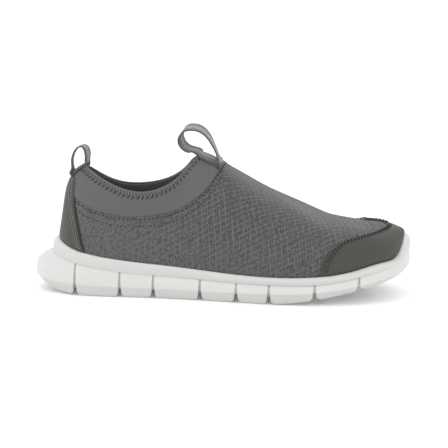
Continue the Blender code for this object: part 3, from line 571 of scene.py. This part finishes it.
def thread_material(name, value):
    g = Graph(name, 0.7, 0.2)
    twist = g.texture("Wave", "Fac", 900, {"Distortion": 2.0})
    return g.finish(g.blend(twist, grey(value), grey(value * 0.75)), twist, 0.0001, 0.6)


mesh_fabric, collar_fabric, webbing = mesh_material(), collar_material(), webbing_material()
cap_synthetic = cap_material("cap_synthetic", srgb(67, 67, 60), srgb(74, 74, 66))
counter_synthetic = cap_material("counter_synthetic", srgb(71, 72, 65), srgb(77, 78, 70))
sole_foam, lining_fabric = sole_material(), lining_material()
dark_thread, grey_thread = thread_material("dark_thread", 32), thread_material("grey_thread", 92)
pale_thread, light_thread = thread_material("pale_thread", 128), thread_material("light_thread", 168)


# Upper

EDGE_STEP = 0.03            # the last share of a section, over which it meets the collar's edge
RIM_STEP = 0.004            # the cap and the counter start this share of a section above the rim
SECTION_LENGTH = 0.05       # metres to a whole step near the rim
FOOT_WALL = 0.0016          # the wall inside the sole's rim
LINING_LIFT = 0.0006        # the roll's inside stands this far off the lining
ROLL_SINK = 0.0002
PANEL_LIFT = FIT_GAP + PANEL_THICKNESS
CAP_LIFT = FIT_GAP + CAP_THICKNESS
COUNTER_LIFT = FIT_GAP + COUNTER_THICKNESS + 0.0003
COUNTER_TOP_Z = COUNTER_TOP * INSTEP_HEIGHT
TAPE_WIDTH = 0.0072
TAPE_HEIGHT = 0.00035
TAPE_SLOPE = 0.0007
ROLL_REACH = 0.0013         # how far the collar's roll stands above where its outer face ends
ROLL_STEPS = 8
ROLL_DEPTHS = (0.0015, 0.004, 0.007, 0.0085)    # its rows down inside, the last one sunk into the lining


def both_sides(angles):
    return np.array(list(angles) + [360 - a for a in angles[-2:0:-1]], float)


def cloth(points, angles, start=0.0):
    """coordinates in the cloth, in metres: along the shoe, and up each section from the rim. The second slants,
    because the mesh's rows rise towards the toe"""
    rim = upper_point(angles, 0)[:, None]
    arcs = arc_lengths(points) + np.reshape(start, (-1, 1))
    return np.stack([0.45 * rim[..., 0] + 0.55 * points[..., 0], rim[..., 2] + arcs - 0.54 * points[..., 0]], -1)


def wall_at(points):
    height = np.clip((points[..., 2] - HEEL_STACK) / (COLLAR_HEIGHT - HEEL_STACK), 0, 1)
    ahead = RIDGE[3][1] * SHOE_LENGTH
    near = np.clip((ahead - points[..., 0]) / (ahead - RIDGE[0][1] * SHOE_LENGTH), 0, 1)
    return VAMP_WALL + (COLLAR_WALL - VAMP_WALL) * height * near


def tape(points):
    """the low ridge of the tape that runs below the collar panel's seam"""
    field = above_panel_seam(points)
    rise = np.clip((field + TAPE_WIDTH) / TAPE_SLOPE, 0, 1)
    return TAPE_HEIGHT * rise**2 * (3 - 2 * rise) * np.clip((0.0004 - field) / TAPE_SLOPE, 0, 1)


def make_upper():
    angles = both_sides(np.arange(0, 181, 1.0))
    steps = np.r_[-1, -0.6, -0.25, np.linspace(0, 1, 61)]
    outer, normals = upper_point(angles[:, None], steps), upper_normal(angles[:, None], steps)
    ahead = np.minimum(angles, 360 - angles) >= COLLAR_FRONT
    mirror = np.r_[0, np.arange(len(angles) - 1, 0, -1)]
    normals[ahead, -1] = unit(normals[ahead, -1] + normals[mirror][ahead, -1])
    uv = cloth(outer, angles)
    inner = outer - normals * wall_at(outer)[..., None]
    inner[:, :3] = outer[:, :3] - normals[:, 3:4] * FOOT_WALL
    outer = outer + normals * tape(outer)[..., None]
    rows, cols = outer.shape[:2]
    far, top = rows * cols, cols - 1
    faces = grid_faces(rows, cols, closed=True)
    inside = [face[::-1] for face in grid_faces(rows, cols, closed=True, start=far)]
    for i in range(rows):
        j = (i + 1) % rows
        a, b = i * cols, j * cols
        inside.append((far + a, far + b, b, a))
        if not (ahead[i] and ahead[j]):
            inside.append((a + top, b + top, far + b + top, far + a + top))
    obj = new_piece("mesh_upper", [outer, inner], faces + inside, [uv, uv], mesh_fabric, lining_fabric,
                    material_of=[0] * len(faces) + [1] * len(inside))
    weld(obj)
    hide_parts("upper")


def dense(count, near_start, near_end):
    """shares from 0 to 1 that crowd at the ends asked for"""
    shares = np.linspace(0, 1, count)
    if near_start:
        shares = np.r_[0, 0.004, 0.010, 0.018, 0.028, shares[shares > 0.035]]
    if near_end:
        shares = np.r_[shares[shares < 0.965], 0.972, 0.982, 0.990, 0.996, 1]
    return shares


def rounded(distance, height, width, least=0.00004):
    """the height of an overlay this far inside its edge, round over its edge's width"""
    share = np.clip(distance / width, 0, 1)
    return least + (height - least) * np.sqrt(np.clip(1 - (1 - share)**2, 0, 1))


def cover_heights(field, lift, rounding):
    """heights of a cover that is round along its seam and along the rim"""
    return lambda points, steps: np.minimum(rounded(field(points), lift, rounding),
                                            rounded(steps * SECTION_LENGTH, lift, 0.0018, 0.00012))


def patch(name, angles, low, high, shares, heights, material):
    """a cover over the upper between two steps at each angle, lifted by its own height at each corner"""
    steps = low[:, None] + (high - low)[:, None] * shares
    base, normals = upper_point(angles[:, None], steps), upper_normal(angles[:, None], steps)
    ridge = (np.minimum(angles, 360 - angles) >= COLLAR_FRONT) & (high > 1 - 1e-6)
    normals[ridge, -1] = unit(normals[ridge, -1] + upper_normal(360 - angles[ridge], 1))
    points = base + normals * heights(base, steps)[..., None]
    uv = cloth(base, angles, (upper_point(angles, low) - upper_point(angles, 0))[:, 2])
    obj = new_piece(name, points, grid_faces(*points.shape[:2]), uv, material)
    weld(obj)
    return obj, points, normals


def edge_approach(angles):
    """how each section meets the collar's edge: its direction there, and metres to a whole step"""
    arriving = upper_point(angles, 1) - upper_point(angles, 1 - EDGE_STEP)
    return unit(arriving), np.linalg.norm(arriving, axis=1) / EDGE_STEP


def rim_starts(field, probe):
    """the angles at which a field turns positive along the rim, on the outer and on the inner side"""
    return [float(np.interp(0, field(upper_point(np.mod(sign * probe, 360), RIM_STEP)), probe)) for sign in (1, -1)]


def make_collar_panel():
    probe = np.linspace(COLLAR_FRONT, 115, 200)
    front = float(np.interp(0, -above_panel_seam(edge_point(probe)), probe))
    angles = np.r_[np.arange(0, 86, 1.0), np.arange(86, COLLAR_FRONT, 0.5), np.linspace(COLLAR_FRONT, front, 24)]
    angles = np.r_[360 - angles[:0:-1], angles]
    a = np.minimum(angles, 360 - angles)
    low = first_crossing(above_panel_seam, angles, True)
    low[a > front - 1e-6] = 1.0
    # over: square to the edge, in the cloth and out past it
    wrapped = np.where(angles > 180, angles - 360, angles)
    tangent = unit(edge_point(np.mod(wrapped + 0.4, 360)) - edge_point(np.mod(wrapped - 0.4, 360)))
    over = unit(np.cross(upper_normal(angles, 0.965), tangent))
    arriving, pace = edge_approach(angles)
    square = np.clip(np.sum(arriving * over, axis=1), 0, 1)
    high = np.where(a < COLLAR_FRONT, 1 - ROLL_REACH * square / pace, 1.0)
    panel, points, normals = patch(
        "collar_panel_cover", angles, low, high, dense(34, True, False),
        lambda points, steps: rounded(above_panel_seam(points), PANEL_LIFT, 0.001), collar_fabric)
    # the roll over the collar's edge and a little way down inside
    on_edge = a <= COLLAR_FRONT + 1e-6
    edge, n = points[on_edge, -1], unit(normals[on_edge, -1])
    angles, over, pace, square, high = (values[on_edge] for values in (angles, over, pace, square, high))
    wall = wall_at(edge)[:, None] + LINING_LIFT
    half = (wall + PANEL_LIFT) / 2
    rows = [edge]
    for turn in np.linspace(0, np.pi, ROLL_STEPS + 1)[1:]:
        rows.append(edge + n * half * (np.cos(turn) - 1) + over * ROLL_REACH * np.sin(turn))
    for down in ROLL_DEPTHS:
        step = np.clip(high - down * square / pace, 0, 1)
        depth = wall if down < ROLL_DEPTHS[-1] else wall - LINING_LIFT - ROLL_SINK
        base = upper_point(angles, step) - over * down * (1 - square)[:, None]
        rows.append(base - upper_normal(angles, step) * depth)
    rows = np.stack(rows, 1)
    across = arc_lengths(rows)
    roll_uv = np.stack([np.broadcast_to(arc_lengths(edge)[:, None], across.shape), across], -1)
    roll = new_piece("collar_roll", rows, grid_faces(*rows.shape[:2]), roll_uv, collar_fabric)
    weld(roll)
    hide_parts("collar_panel")
    return front


def make_toe_cap():
    probe = np.linspace(100, 178, 400)
    starts = rim_starts(ahead_of_cap_seam, probe)
    crossing = float(np.interp(0, ahead_of_cap_seam(edge_point(probe)), probe))
    outer, inner = (np.unique(np.r_[start, np.arange(np.ceil(start), 180, 0.75), crossing + np.linspace(-1, 3, 9), 180])
                    for start in starts)
    angles = np.r_[outer, 360 - inner[-2::-1]]
    high = first_crossing(ahead_of_cap_seam, angles, True)
    high[np.minimum(angles, 360 - angles) > crossing] = 1.0
    cap = patch("toe_cap_cover", angles, np.minimum(RIM_STEP, high), high, dense(44, True, True),
                cover_heights(ahead_of_cap_seam, CAP_LIFT, 0.0011), cap_synthetic)[0]
    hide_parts("toe_cap")
    return starts, crossing


def make_heel_counter():
    starts = rim_starts(lambda p: -inside_counter(p), np.linspace(20, 60, 300))
    angles = np.r_[360 - np.linspace(starts[1], 0.6, 60), np.linspace(0, starts[0], 60)]
    high = first_crossing(inside_counter, angles, True)
    counter = patch("heel_counter_cover", angles, np.minimum(RIM_STEP, high), high, dense(40, True, True),
                    cover_heights(inside_counter, COUNTER_LIFT, 0.0012), counter_synthetic)[0]
    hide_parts("heel_counter")


# Sole and insole

HEEL_ANGLES = [0, 3, 6, 10, 14, 18, 22, 25]
TOE_ANGLES = [152, 155, 158, 161, 164, 167, 170, 173, 176, 178, 180]
BLOCK_STEP = 0.006


def sole_stations():
    stations = [("angle", angle, 0) for angle in HEEL_ANGLES]
    toe_start = float(ring(np.array([TOE_ANGLES[0]]), 0, 0, 0)[0][0])
    for groove, following in zip(FLEX_GROOVES, FLEX_GROOVES[1:] + [toe_start / SHOE_LENGTH]):
        start, end = groove * SHOE_LENGTH, following * SHOE_LENGTH
        stations += [("x", start, place) for place in (-3, -2, -1, 1, 2, 3)]
        pieces = round((end - start) / BLOCK_STEP)
        stations += [("x", start + (end - start) * k / pieces, 0) for k in range(1, pieces)]
    return stations + [("angle", angle, 0) for angle in TOE_ANGLES]


def sole_line(level, stations):
    """one level of the sole once round: angles, x, y before and after the grooves cut into its side, and how deep
    they cut from below"""
    back, front = level[0] * HEEL_FLARE, level[1] * TOE_BUMPER
    out = level[2] * SIDE_FLARE + level[3] * RIM_THICKNESS
    slot, cut = level[9] * FLEX_GROOVE_WIDTH, level[10] * FLEX_GROOVE_INSET
    rounding = BLOCK_ROUND * level[9] / LEVELS[0][9]
    across = {0: (0, 0, 0), 1: (0.6 * slot, cut, FLEX_GROOVE_DEPTH), 2: (slot, 0.15 * cut, 0.4 * BLOCK_ROUND),
              3: (slot + rounding, 0, 0)}
    angles, insets, depths = [], [], []
    for kind, value, place in stations:
        away, inset, depth = across[abs(place)]
        angles.append(value if kind == "angle" else float(angle_at(value + np.sign(place) * away, back, front)))
        insets.append(inset)
        depths.append(depth)
    angles = both_sides(angles)
    insets, depths = np.array(insets + insets[-2:0:-1]), np.array(depths + depths[-2:0:-1])
    x, y = ring(angles, back, front, out)
    return angles, x, y, y - np.sign(y) * insets, depths


def cap_faces(edge, between):
    """faces across the shoe between the two sides of a ring of corners, over further corners at each station"""
    last = len(edge) // 2
    rows = [[edge[0]]] + [[edge[i], *between[i], edge[-i]] for i in range(1, last)] + [[edge[last]]]
    faces = []
    for a, b in zip(rows, rows[1:]):
        for k in range(max(len(a), len(b)) - 1):
            corners = [a[min(k, len(a) - 1)], a[min(k + 1, len(a) - 1)], b[min(k + 1, len(b) - 1)],
                       b[min(k, len(b) - 1)]]
            faces.append(tuple(dict.fromkeys(corners)))
    return faces


LEVEL_CREASES = [0.75, 0.35, 0.85, 0.25, 0.9, 0.75, 0.45, 0.25, 0.55, 0.6]
GROOVE_CREASE = 0.55
UNDERSIDE_CREASE = 0.4
INSOLE_DISH = 0.0006        # how far its middle lies below its edge


def make_sole():
    stations = sole_stations()
    lines, uv = [], []
    for k, level in enumerate([*LEVELS, FOOTBED_LEVEL]):
        angles, x, full_y, y, depths = sole_line(level, stations)
        ground, low = underside(angles), rim_low(angles)
        z = (level[4] * ground + level[5] * flare_line(angles) + level[6] * low + level[7] * rim_top(angles)
             + level[8] * BEVEL_HEIGHT)
        if k == 0:
            ceiling = ground + np.minimum(depths, GROOVE_REACH * (footbed(angles) - ground))
            contact_x, contact_y, contact_ground = x, full_y, ground
        z = footbed_at(x) if k == len(LEVELS) else np.maximum(z, ceiling + k * LEVEL_STEP)
        lines.append(np.stack([x, y, z], -1))
        uv.append(np.stack([x, np.full(len(x), float(k))], -1))
    points, uv = np.stack(lines, 1), np.stack(uv, 1)
    rows, cols = points.shape[:2]
    faces = grid_faces(rows, cols, closed=True)
    corners, corner_uv = list(points.reshape(-1, 3)), list(uv.reshape(-1, 2))
    last = len(stations) - 1
    between = [[] for _ in stations]
    for i in range(1, last):
        grooved = len(HEEL_ANGLES) <= i <= last - len(TOE_ANGLES)
        for start, end in LONG_GROOVES:
            for share, deep in ((start, 0), (start + LONG_SLOPE, 1), (end - LONG_SLOPE, 1), (end, 0)):
                depth = LONG_GROOVE_DEPTH if deep and grooved else 0
                y = contact_y[i] + share * (contact_y[-i] - contact_y[i])
                between[i].append(len(corners))
                corners.append((contact_x[i], y, max(ceiling[i], contact_ground[i] + depth)))
                corner_uv.append((contact_x[i], 0.0))
    faces += cap_faces([i * cols for i in range(rows)], between)
    faces += [tuple(reversed(f)) for f in cap_faces([i * cols + cols - 1 for i in range(rows)], [[] for _ in stations])]
    obj = new_piece("moulded_sole", corners, faces, corner_uv, sole_foam)
    near_groove = {i for i, (_, _, place) in enumerate(stations) if abs(place) in (1, 2)}
    near_groove |= {(rows - i) % rows for i in near_groove}

    def crease(bm):
        creases = bm.edges.layers.float.new("crease_edge")
        for edge in bm.edges:
            a, b = edge.verts[0].index, edge.verts[1].index
            if max(a, b) >= rows * cols:
                edge[creases] = UNDERSIDE_CREASE
            elif a % cols == b % cols:
                edge[creases] = LEVEL_CREASES[a % cols]
            elif a // cols == b // cols and a // cols in near_groove:
                edge[creases] = GROOVE_CREASE
    edit_mesh(obj, crease)
    face_outward(obj)
    smooth = obj.modifiers.new("smooth", "SUBSURF")
    smooth.levels = smooth.render_levels = 2
    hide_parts("sole")


def make_insole():
    angles = np.arange(0, 360, 3.0)
    rows = []
    for out, lift in ((0, 0), (0.0002, 0.35), (0, 0.8), (-0.0012, 1)):
        x, y = inset_ring(angles, INSOLE_INSET - out)
        rows.append(np.stack([x, y, footbed_at(x) + FIT_GAP + lift * INSOLE_THICKNESS], -1))
    edge_x, edge_y = inset_ring(angles, INSOLE_INSET)
    for share in (0.9, 0.75, 0.55, 0.35, 0.15, 0):
        x, y = SHOE_LENGTH / 2 + (edge_x - SHOE_LENGTH / 2) * share, edge_y * share
        rows.append(np.stack([x, y, footbed_at(x) + FIT_GAP + INSOLE_THICKNESS - INSOLE_DISH * (1 - share)], -1))
    points = np.stack(rows, 1)
    obj = new_piece("insole_foam", points, grid_faces(*points.shape[:2], closed=True), points[..., :2], lining_fabric)
    weld(obj)
    edit_mesh(obj, lambda bm: bmesh.ops.contextual_create(bm, geom=[edge for edge in bm.edges if edge.is_boundary]))
    face_outward(obj)
    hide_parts("insole")


# Pull loops

ROW_SHARES = np.linspace(-0.5, 0.5, 9)
ROUND_EDGE = [(0, 1), (0.5, 0.87), (0.87, 0.5), (1, 0), (0.87, -0.5), (0.5, -0.87), (0, -1)]     # out and up


def webbing_row(middle, tangent, lean, yaw, width):
    lean, yaw = np.radians(lean), np.radians(yaw)
    across = np.array([np.sin(yaw) * np.cos(lean), np.cos(yaw) * np.cos(lean), np.sin(lean)])
    across = unit(across - tangent * np.dot(across, tangent))
    return [middle + across * width * share for share in ROW_SHARES]


def lifted(angles, steps, lift):
    angles = np.array(angles)
    return upper_point(angles, steps) + upper_normal(angles, steps) * lift


def instep_row(x, width, shift, lift):
    angles, steps = [], []
    for away in shift + width * ROW_SHARES:
        angle, step = np.interp(x, ridge_x(np.arange(90, 130.0)) * SHOE_LENGTH, np.arange(90, 130.0)), 0.95
        for _ in range(12):
            side = np.array([angle, angle + 0.1, angle])
            side = side if away < 0 else 360 - side
            points = upper_point(side, [step, step, step - 0.001])[:, :2]
            slopes = np.stack([points[1] - points[0], points[0] - points[2]], -1) / [0.1, 0.001]
            target = np.array([x, ridge_y(angle) * BALL_WIDTH + away])
            change = np.linalg.solve(slopes, target - points[0])
            angle, step = angle + change[0], min(step + change[1], 1.0)
        angles.append(angle if away < 0 else 360 - angle)
        steps.append(step)
    return lifted(angles, steps, lift)


def heel_row(step, width, lift):
    angles = np.linspace(0, 30, 121)
    away = width * ROW_SHARES
    found = np.interp(np.abs(away), np.abs(upper_point(angles, step)[:, 1]), angles)
    return lifted(np.where(away < 0, found, 360 - found), step, lift)


def pull_loop(name, node, layer, free, height, width):
    """a closed ring of webbing with rounded edges: its layer on the shoe, the free part, and the fold between"""
    back, front = layer[0].mean(0), layer[-1].mean(0)
    middles = [front + along * (back - front) + up * height * np.array([0, 0, 1]) for along, up, _, _ in free]
    path = [front] + middles + [back]
    rows = layer[-2:]
    for k, (_, _, lean, yaw) in enumerate(free):
        rows.append(np.array(webbing_row(middles[k], unit(path[k + 2] - path[k]), lean, yaw, width)))
    outward = unit(layer[0].mean(0) - layer[1].mean(0))
    away = unit(middles[-1] - back)
    away = unit(away - outward * np.dot(away, outward)) * FOLD_GAP
    rows.append(layer[0] + away)
    places = arc_lengths(np.array([row.mean(0) for row in rows]))
    smooth = curve(places, np.array(rows).reshape(len(rows), -1))
    steps = np.linspace(places[1], places[-1], 110)[1:]
    free_rows = list(smooth(steps).reshape(-1, len(ROW_SHARES), 3))
    turns = np.linspace(0, np.pi, 8)[1:-1]
    fold = [layer[0] + away * (1 + np.cos(turn)) / 2 + outward * np.sin(turn) * FOLD_GAP / 2 for turn in turns]
    finer = curve(np.arange(len(layer)), np.array(layer).reshape(len(layer), -1))
    layer_rows = list(finer(np.linspace(0, len(layer) - 1, 24)).reshape(-1, len(ROW_SHARES), 3))
    lines = np.array(layer_rows + free_rows + fold)
    along = unit(np.roll(lines, -1, axis=0) - np.roll(lines, 1, axis=0))
    across = unit(np.gradient(lines, axis=1))
    normals = unit(np.cross(along, across))
    lengths = arc_lengths(lines.mean(1))
    half = WEBBING_THICKNESS / 2
    inner = range(1, len(ROW_SHARES) - 1)
    around = [(k, 0, 1) for k in inner] + [(-1, out - 1, rise) for out, rise in ROUND_EDGE]
    around += [(k, 0, -1) for k in reversed(inner)] + [(0, 1 - out, rise) for out, rise in reversed(ROUND_EDGE)]
    points = np.stack([lines[:, k] + (across[:, k] * shift + normals[:, k] * rise) * half
                       for k, shift, rise in around], 1)
    uv = np.stack([np.stack([np.full(len(lines), ROW_SHARES[k] * width + shift * half), lengths], -1)
                   for k, shift, _ in around], 1)
    n, m = points.shape[:2]
    faces = [(i * m + k, (i + 1) % n * m + k, (i + 1) % n * m + (k + 1) % m, i * m + (k + 1) % m)
             for i in range(n) for k in range(m)]
    obj = new_piece(name, points, faces, uv, webbing)
    weld(obj)
    face_outward(obj)
    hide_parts(node)


# Stitches

STITCHES = {  # length, radius, slant in degrees, thread
    "collar_stitches": (0.0036, 0.00046, 58, dark_thread), "overlock": (0.004, 0.00026, 66, grey_thread),
    "overlock_light": (0.0042, 0.0003, 108, light_thread), "seam_stitches": (0.0018, 0.00048, 0, dark_thread),
    # the tape's dark dashes are painted shadow below its edge
    "tape_light": (0.0017, 0.0003, 0, pale_thread), "tape_edge_shadow_dashes": (0.0017, 0.0003, 0, dark_thread),
    # the counter's edge line: overlapping dark threads, partly painted shadow under the edge
    "counter_stitches": (0.0012, 0.00042, 0, light_thread), "counter_edge_thread_and_shade": (0.003, 0.00075, 0, dark_thread),
    "cap_stitches": (0.0018, 0.00075, 0, dark_thread), "cap_specks": (0.001, 0.00045, 0, light_thread)}
STITCH_SINK = 0.25          # the share of a thread's radius by which it sinks into the cloth
STITCH_SIDES = 7
STITCH_RINGS = [(-0.5, 0), (-0.44, 0.55), (-0.28, 0.92), (0, 1), (0.28, 0.92), (0.44, 0.55), (0.5, 0)]
COLLAR_ROW = 0.0052         # how far each row lies below the collar's edge
OVERLOCK_ROW = 0.0029
SEAM_ROW = 0.0022           # and below the panel's seam
TAPE_ROW = 0.0062
COUNTER_ROWS = (0.0022, 0.0042)     # and inside the edges of the counter and the cap
CAP_ROWS = (0.0022, 0.0048)
CAP_PITCH = 0.003


def along_line(points, normals, pitch, start=0.5):
    """places a pitch apart along a line of points: points, directions and normals"""
    lengths = arc_lengths(points)
    count = max(int(lengths[-1] / pitch), 1)
    at = (np.arange(count) + start) * lengths[-1] / count
    found, normal, ahead, behind = (
        np.stack([np.interp(where, lengths, values[:, k]) for k in range(3)], -1)
        for where, values in ((at, points), (at, normals), (at + pitch / 4, points), (at - pitch / 4, points)))
    along, normal = unit(ahead - behind), unit(normal)
    return found, along, unit(normal - along * np.sum(normal * along, -1, keepdims=True))


def stitches(name, runs, length, radius, slant, material):
    """one piece of many short threads: each run is places, directions and normals from along_line"""
    points, faces = [], []
    for places, along, normals in runs:
        turn = np.radians(slant)
        main = along * np.cos(turn) + np.cross(normals, along) * np.sin(turn)
        for place, m, o, n in zip(places, main, np.cross(normals, main), normals):
            start = len(points)
            for share, size in STITCH_RINGS:
                dip = 1 - (2 * abs(share))**2
                centre = place + m * length * share + n * radius * (dip * (1 - STITCH_SINK) - STITCH_SINK * 0.6)
                for angle in np.arange(STITCH_SIDES) * 2 * np.pi / STITCH_SIDES:
                    points.append(centre + (o * np.cos(angle) + n * np.sin(angle)) * radius * max(size, 0.15))
            for low in range(start, start + (len(STITCH_RINGS) - 1) * STITCH_SIDES, STITCH_SIDES):
                high = low + STITCH_SIDES
                for k in range(STITCH_SIDES):
                    after = (k + 1) % STITCH_SIDES
                    faces.append((low + k, low + after, high + after, high + k))
            faces.append(tuple(range(start + STITCH_SIDES - 1, start - 1, -1)))
            faces.append(tuple(range(high, high + STITCH_SIDES)))
    face_outward(new_piece(name, points, faces, None, material))


def run_on_upper(angles, steps, lift, pitch, start=0.5, top=1.0):
    """places a pitch apart along a line over the upper, lifted as far as the cover it lies on, and below the top"""
    normals = upper_normal(angles, steps)
    line = upper_point(angles, steps) + normals * lift
    low = line[:, 2] < top
    return along_line(line[low], normals[low], pitch, start)


def sew_side(outer):
    """all the stitches of the outer or the inner side"""
    def on_side(angles):
        return angles if outer else 360 - angles

    def sew(kind, *runs):
        length, radius, slant, thread = STITCHES[kind]
        stitches(kind + ("_outer" if outer else "_inner"), runs, length, radius, slant if outer else -slant, thread)

    def below_seam(angles, distance):
        return first_crossing(lambda p: above_panel_seam(p) + distance, angles, True)

    def counter_angles(steps, inset):
        probe = on_side(np.linspace(3, 60, 300))
        found = []
        for step in steps:
            p = upper_point(probe, step)
            found.append(float(np.interp(0, p[:, 0] - counter_seam_x(p[:, 2]) + inset, probe)))
        return np.array(found)

    # the overedge stitching a little way below the collar's edge, and the overlock thread between the two
    angles = on_side(np.linspace(1, COLLAR_FRONT - 1, 240))
    pace = edge_approach(angles)[1]
    sew("collar_stitches", run_on_upper(angles, 1 - COLLAR_ROW / pace, PANEL_LIFT, 0.0037))
    sew("overlock", run_on_upper(angles, 1 - OVERLOCK_ROW / pace, PANEL_LIFT, 0.00125))
    sew("overlock_light", run_on_upper(angles, 1 - OVERLOCK_ROW / pace, PANEL_LIFT, 0.0025, 0.2))
    # the row of small stitches along the panel's seam, light dashes at the tape's lower edge, and below them dark
    # dashes that paint the edge's shadow
    angles = on_side(np.linspace(0, panel_front - 1, 400))
    sew("seam_stitches", run_on_upper(angles, below_seam(angles, SEAM_ROW), TAPE_HEIGHT, 0.0033))
    angles = angles[:-20]
    sew("tape_light", run_on_upper(angles, below_seam(angles, TAPE_ROW), TAPE_HEIGHT - 0.0001, 0.0029))
    # dark dashes just below the tape's edge: painted shadow
    sew("tape_edge_shadow_dashes", run_on_upper(angles, below_seam(angles, TAPE_WIDTH + 0.0003), 0.0, 0.0029))
    # two rows inside the counter's edge, and along its edge a continuous dark thread line that is partly painted shadow
    # of the edge
    steps, runs = np.linspace(0.03, 0.985, 160), []
    for inset in COUNTER_ROWS:
        angles = counter_angles(steps, inset)
        low = upper_point(angles, steps)[:, 2] < COUNTER_TOP_Z - 0.0015
        runs.append(run_on_upper(angles[low], steps[low], COUNTER_LIFT, 0.0021))
    sew("counter_stitches", *runs)
    # a dark line just outside the counter's edge, partly painted shadow
    steps = np.linspace(0.01, 0.97, 120)
    sew("counter_edge_thread_and_shade", run_on_upper(counter_angles(steps, -0.0002), steps, 0.0003, 0.0022, top=COUNTER_TOP_Z))
    # two rows inside the toe cap's edge, with light specks between their stitches
    angles, runs = on_side(np.linspace(cap_starts[0 if outer else 1] + 1.5, cap_crossing - 0.2, 300)), []
    for inset in CAP_ROWS:
        steps = first_crossing(lambda p: ahead_of_cap_seam(p) - inset, angles, False)
        kept = (steps > 0.02) & (steps < 0.995)
        runs.append(run_on_upper(angles[kept], steps[kept], CAP_LIFT + 0.0001, CAP_PITCH))
    sew("cap_stitches", *runs)
    sew("cap_specks", *(along_line(places + along * CAP_PITCH / 2 + normals * 0.0001, normals, CAP_PITCH)
                        for places, along, normals in runs))


make_upper()
panel_front = make_collar_panel()
cap_starts, cap_crossing = make_toe_cap()
make_heel_counter()
make_sole()
make_insole()
layer_lift = PANEL_LIFT + FIT_GAP + WEBBING_SEAT + WEBBING_THICKNESS / 2
pull_loop("instep_pull_loop", "instep_loop",
          [instep_row(x * SHOE_LENGTH, INSTEP_WEBBING_WIDTH, y * BALL_WIDTH, layer_lift) for x, y in INSTEP_LAYER],
          INSTEP_LOOP, INSTEP_LOOP_HEIGHT, INSTEP_WEBBING_WIDTH)
pull_loop("heel_pull_loop", "heel_loop", [heel_row(step, HEEL_WEBBING_WIDTH, layer_lift) for step in HEEL_LAYER],
          HEEL_LOOP, HEEL_LOOP_HEIGHT, HEEL_WEBBING_WIDTH)
sew_side(outer=True)
sew_side(outer=False)


# Camera, light and floor

TARGET = Vector((0.00266, -0.00007, 0.05284))
DISTANCE, LENS = 1.1316, 115.0
FLOOR_HALF = 12
azimuth, elevation = np.radians(7.0), np.radians(10.0)
camera = bpy.data.objects.new("camera", bpy.data.cameras.new("camera"))
camera.data.lens, camera.data.sensor_width = LENS, 36.0
camera.data.clip_start, camera.data.clip_end = 0.01, 100.0
offset = Vector((np.sin(azimuth) * np.cos(elevation), -np.cos(azimuth) * np.cos(elevation), np.sin(elevation)))
camera.location = TARGET + offset * DISTANCE
camera.rotation_euler = (TARGET - camera.location).to_track_quat("-Z", "Y").to_euler()
scene.collection.objects.link(camera)
scene.camera = camera

world = bpy.data.worlds.new("studio")
world.use_nodes = True
background = world.node_tree.nodes["Background"]
background.inputs["Color"].default_value = (1, 1, 1, 1)
background.inputs["Strength"].default_value = 1.08
scene.world = world


def soft_light(name, place, size, power):
    light = bpy.data.lights.new(name, "AREA")
    light.shape, light.size, light.energy = "DISK", size, power
    obj = bpy.data.objects.new(name, light)
    obj.location = place
    obj.rotation_euler = (Vector((0, 0, 0.05)) - obj.location).to_track_quat("-Z", "Y").to_euler()
    scene.collection.objects.link(obj)


soft_light("key", (-0.6, -0.7, 1.7), 0.9, 4.4)
soft_light("fill", (1.3, -0.5, 0.9), 0.8, 0.6)
soft_light("back", (0.2, 1.2, 1.1), 1.2, 3.0)

mesh = bpy.data.meshes.new("floor")
mesh.from_pydata([(x * FLOOR_HALF, y * FLOOR_HALF, 0) for x, y in ((-1, -1), (1, -1), (1, 1), (-1, 1))], [],
                 [(0, 1, 2, 3)])
floor = bpy.data.objects.new("floor", mesh)
paper = Graph("floor_paper", 0.9)
paper.shader.inputs["Emission Color"].default_value = (1, 1, 1, 1)
paper.shader.inputs["Emission Strength"].default_value = 0.1
mesh.materials.append(paper.finish(paper.blend(paper.noise(6), (0.93, 0.93, 0.93, 1), (0.95, 0.95, 0.95, 1))))
scene.collection.objects.link(floor)
scene.view_settings.view_transform = "Standard"
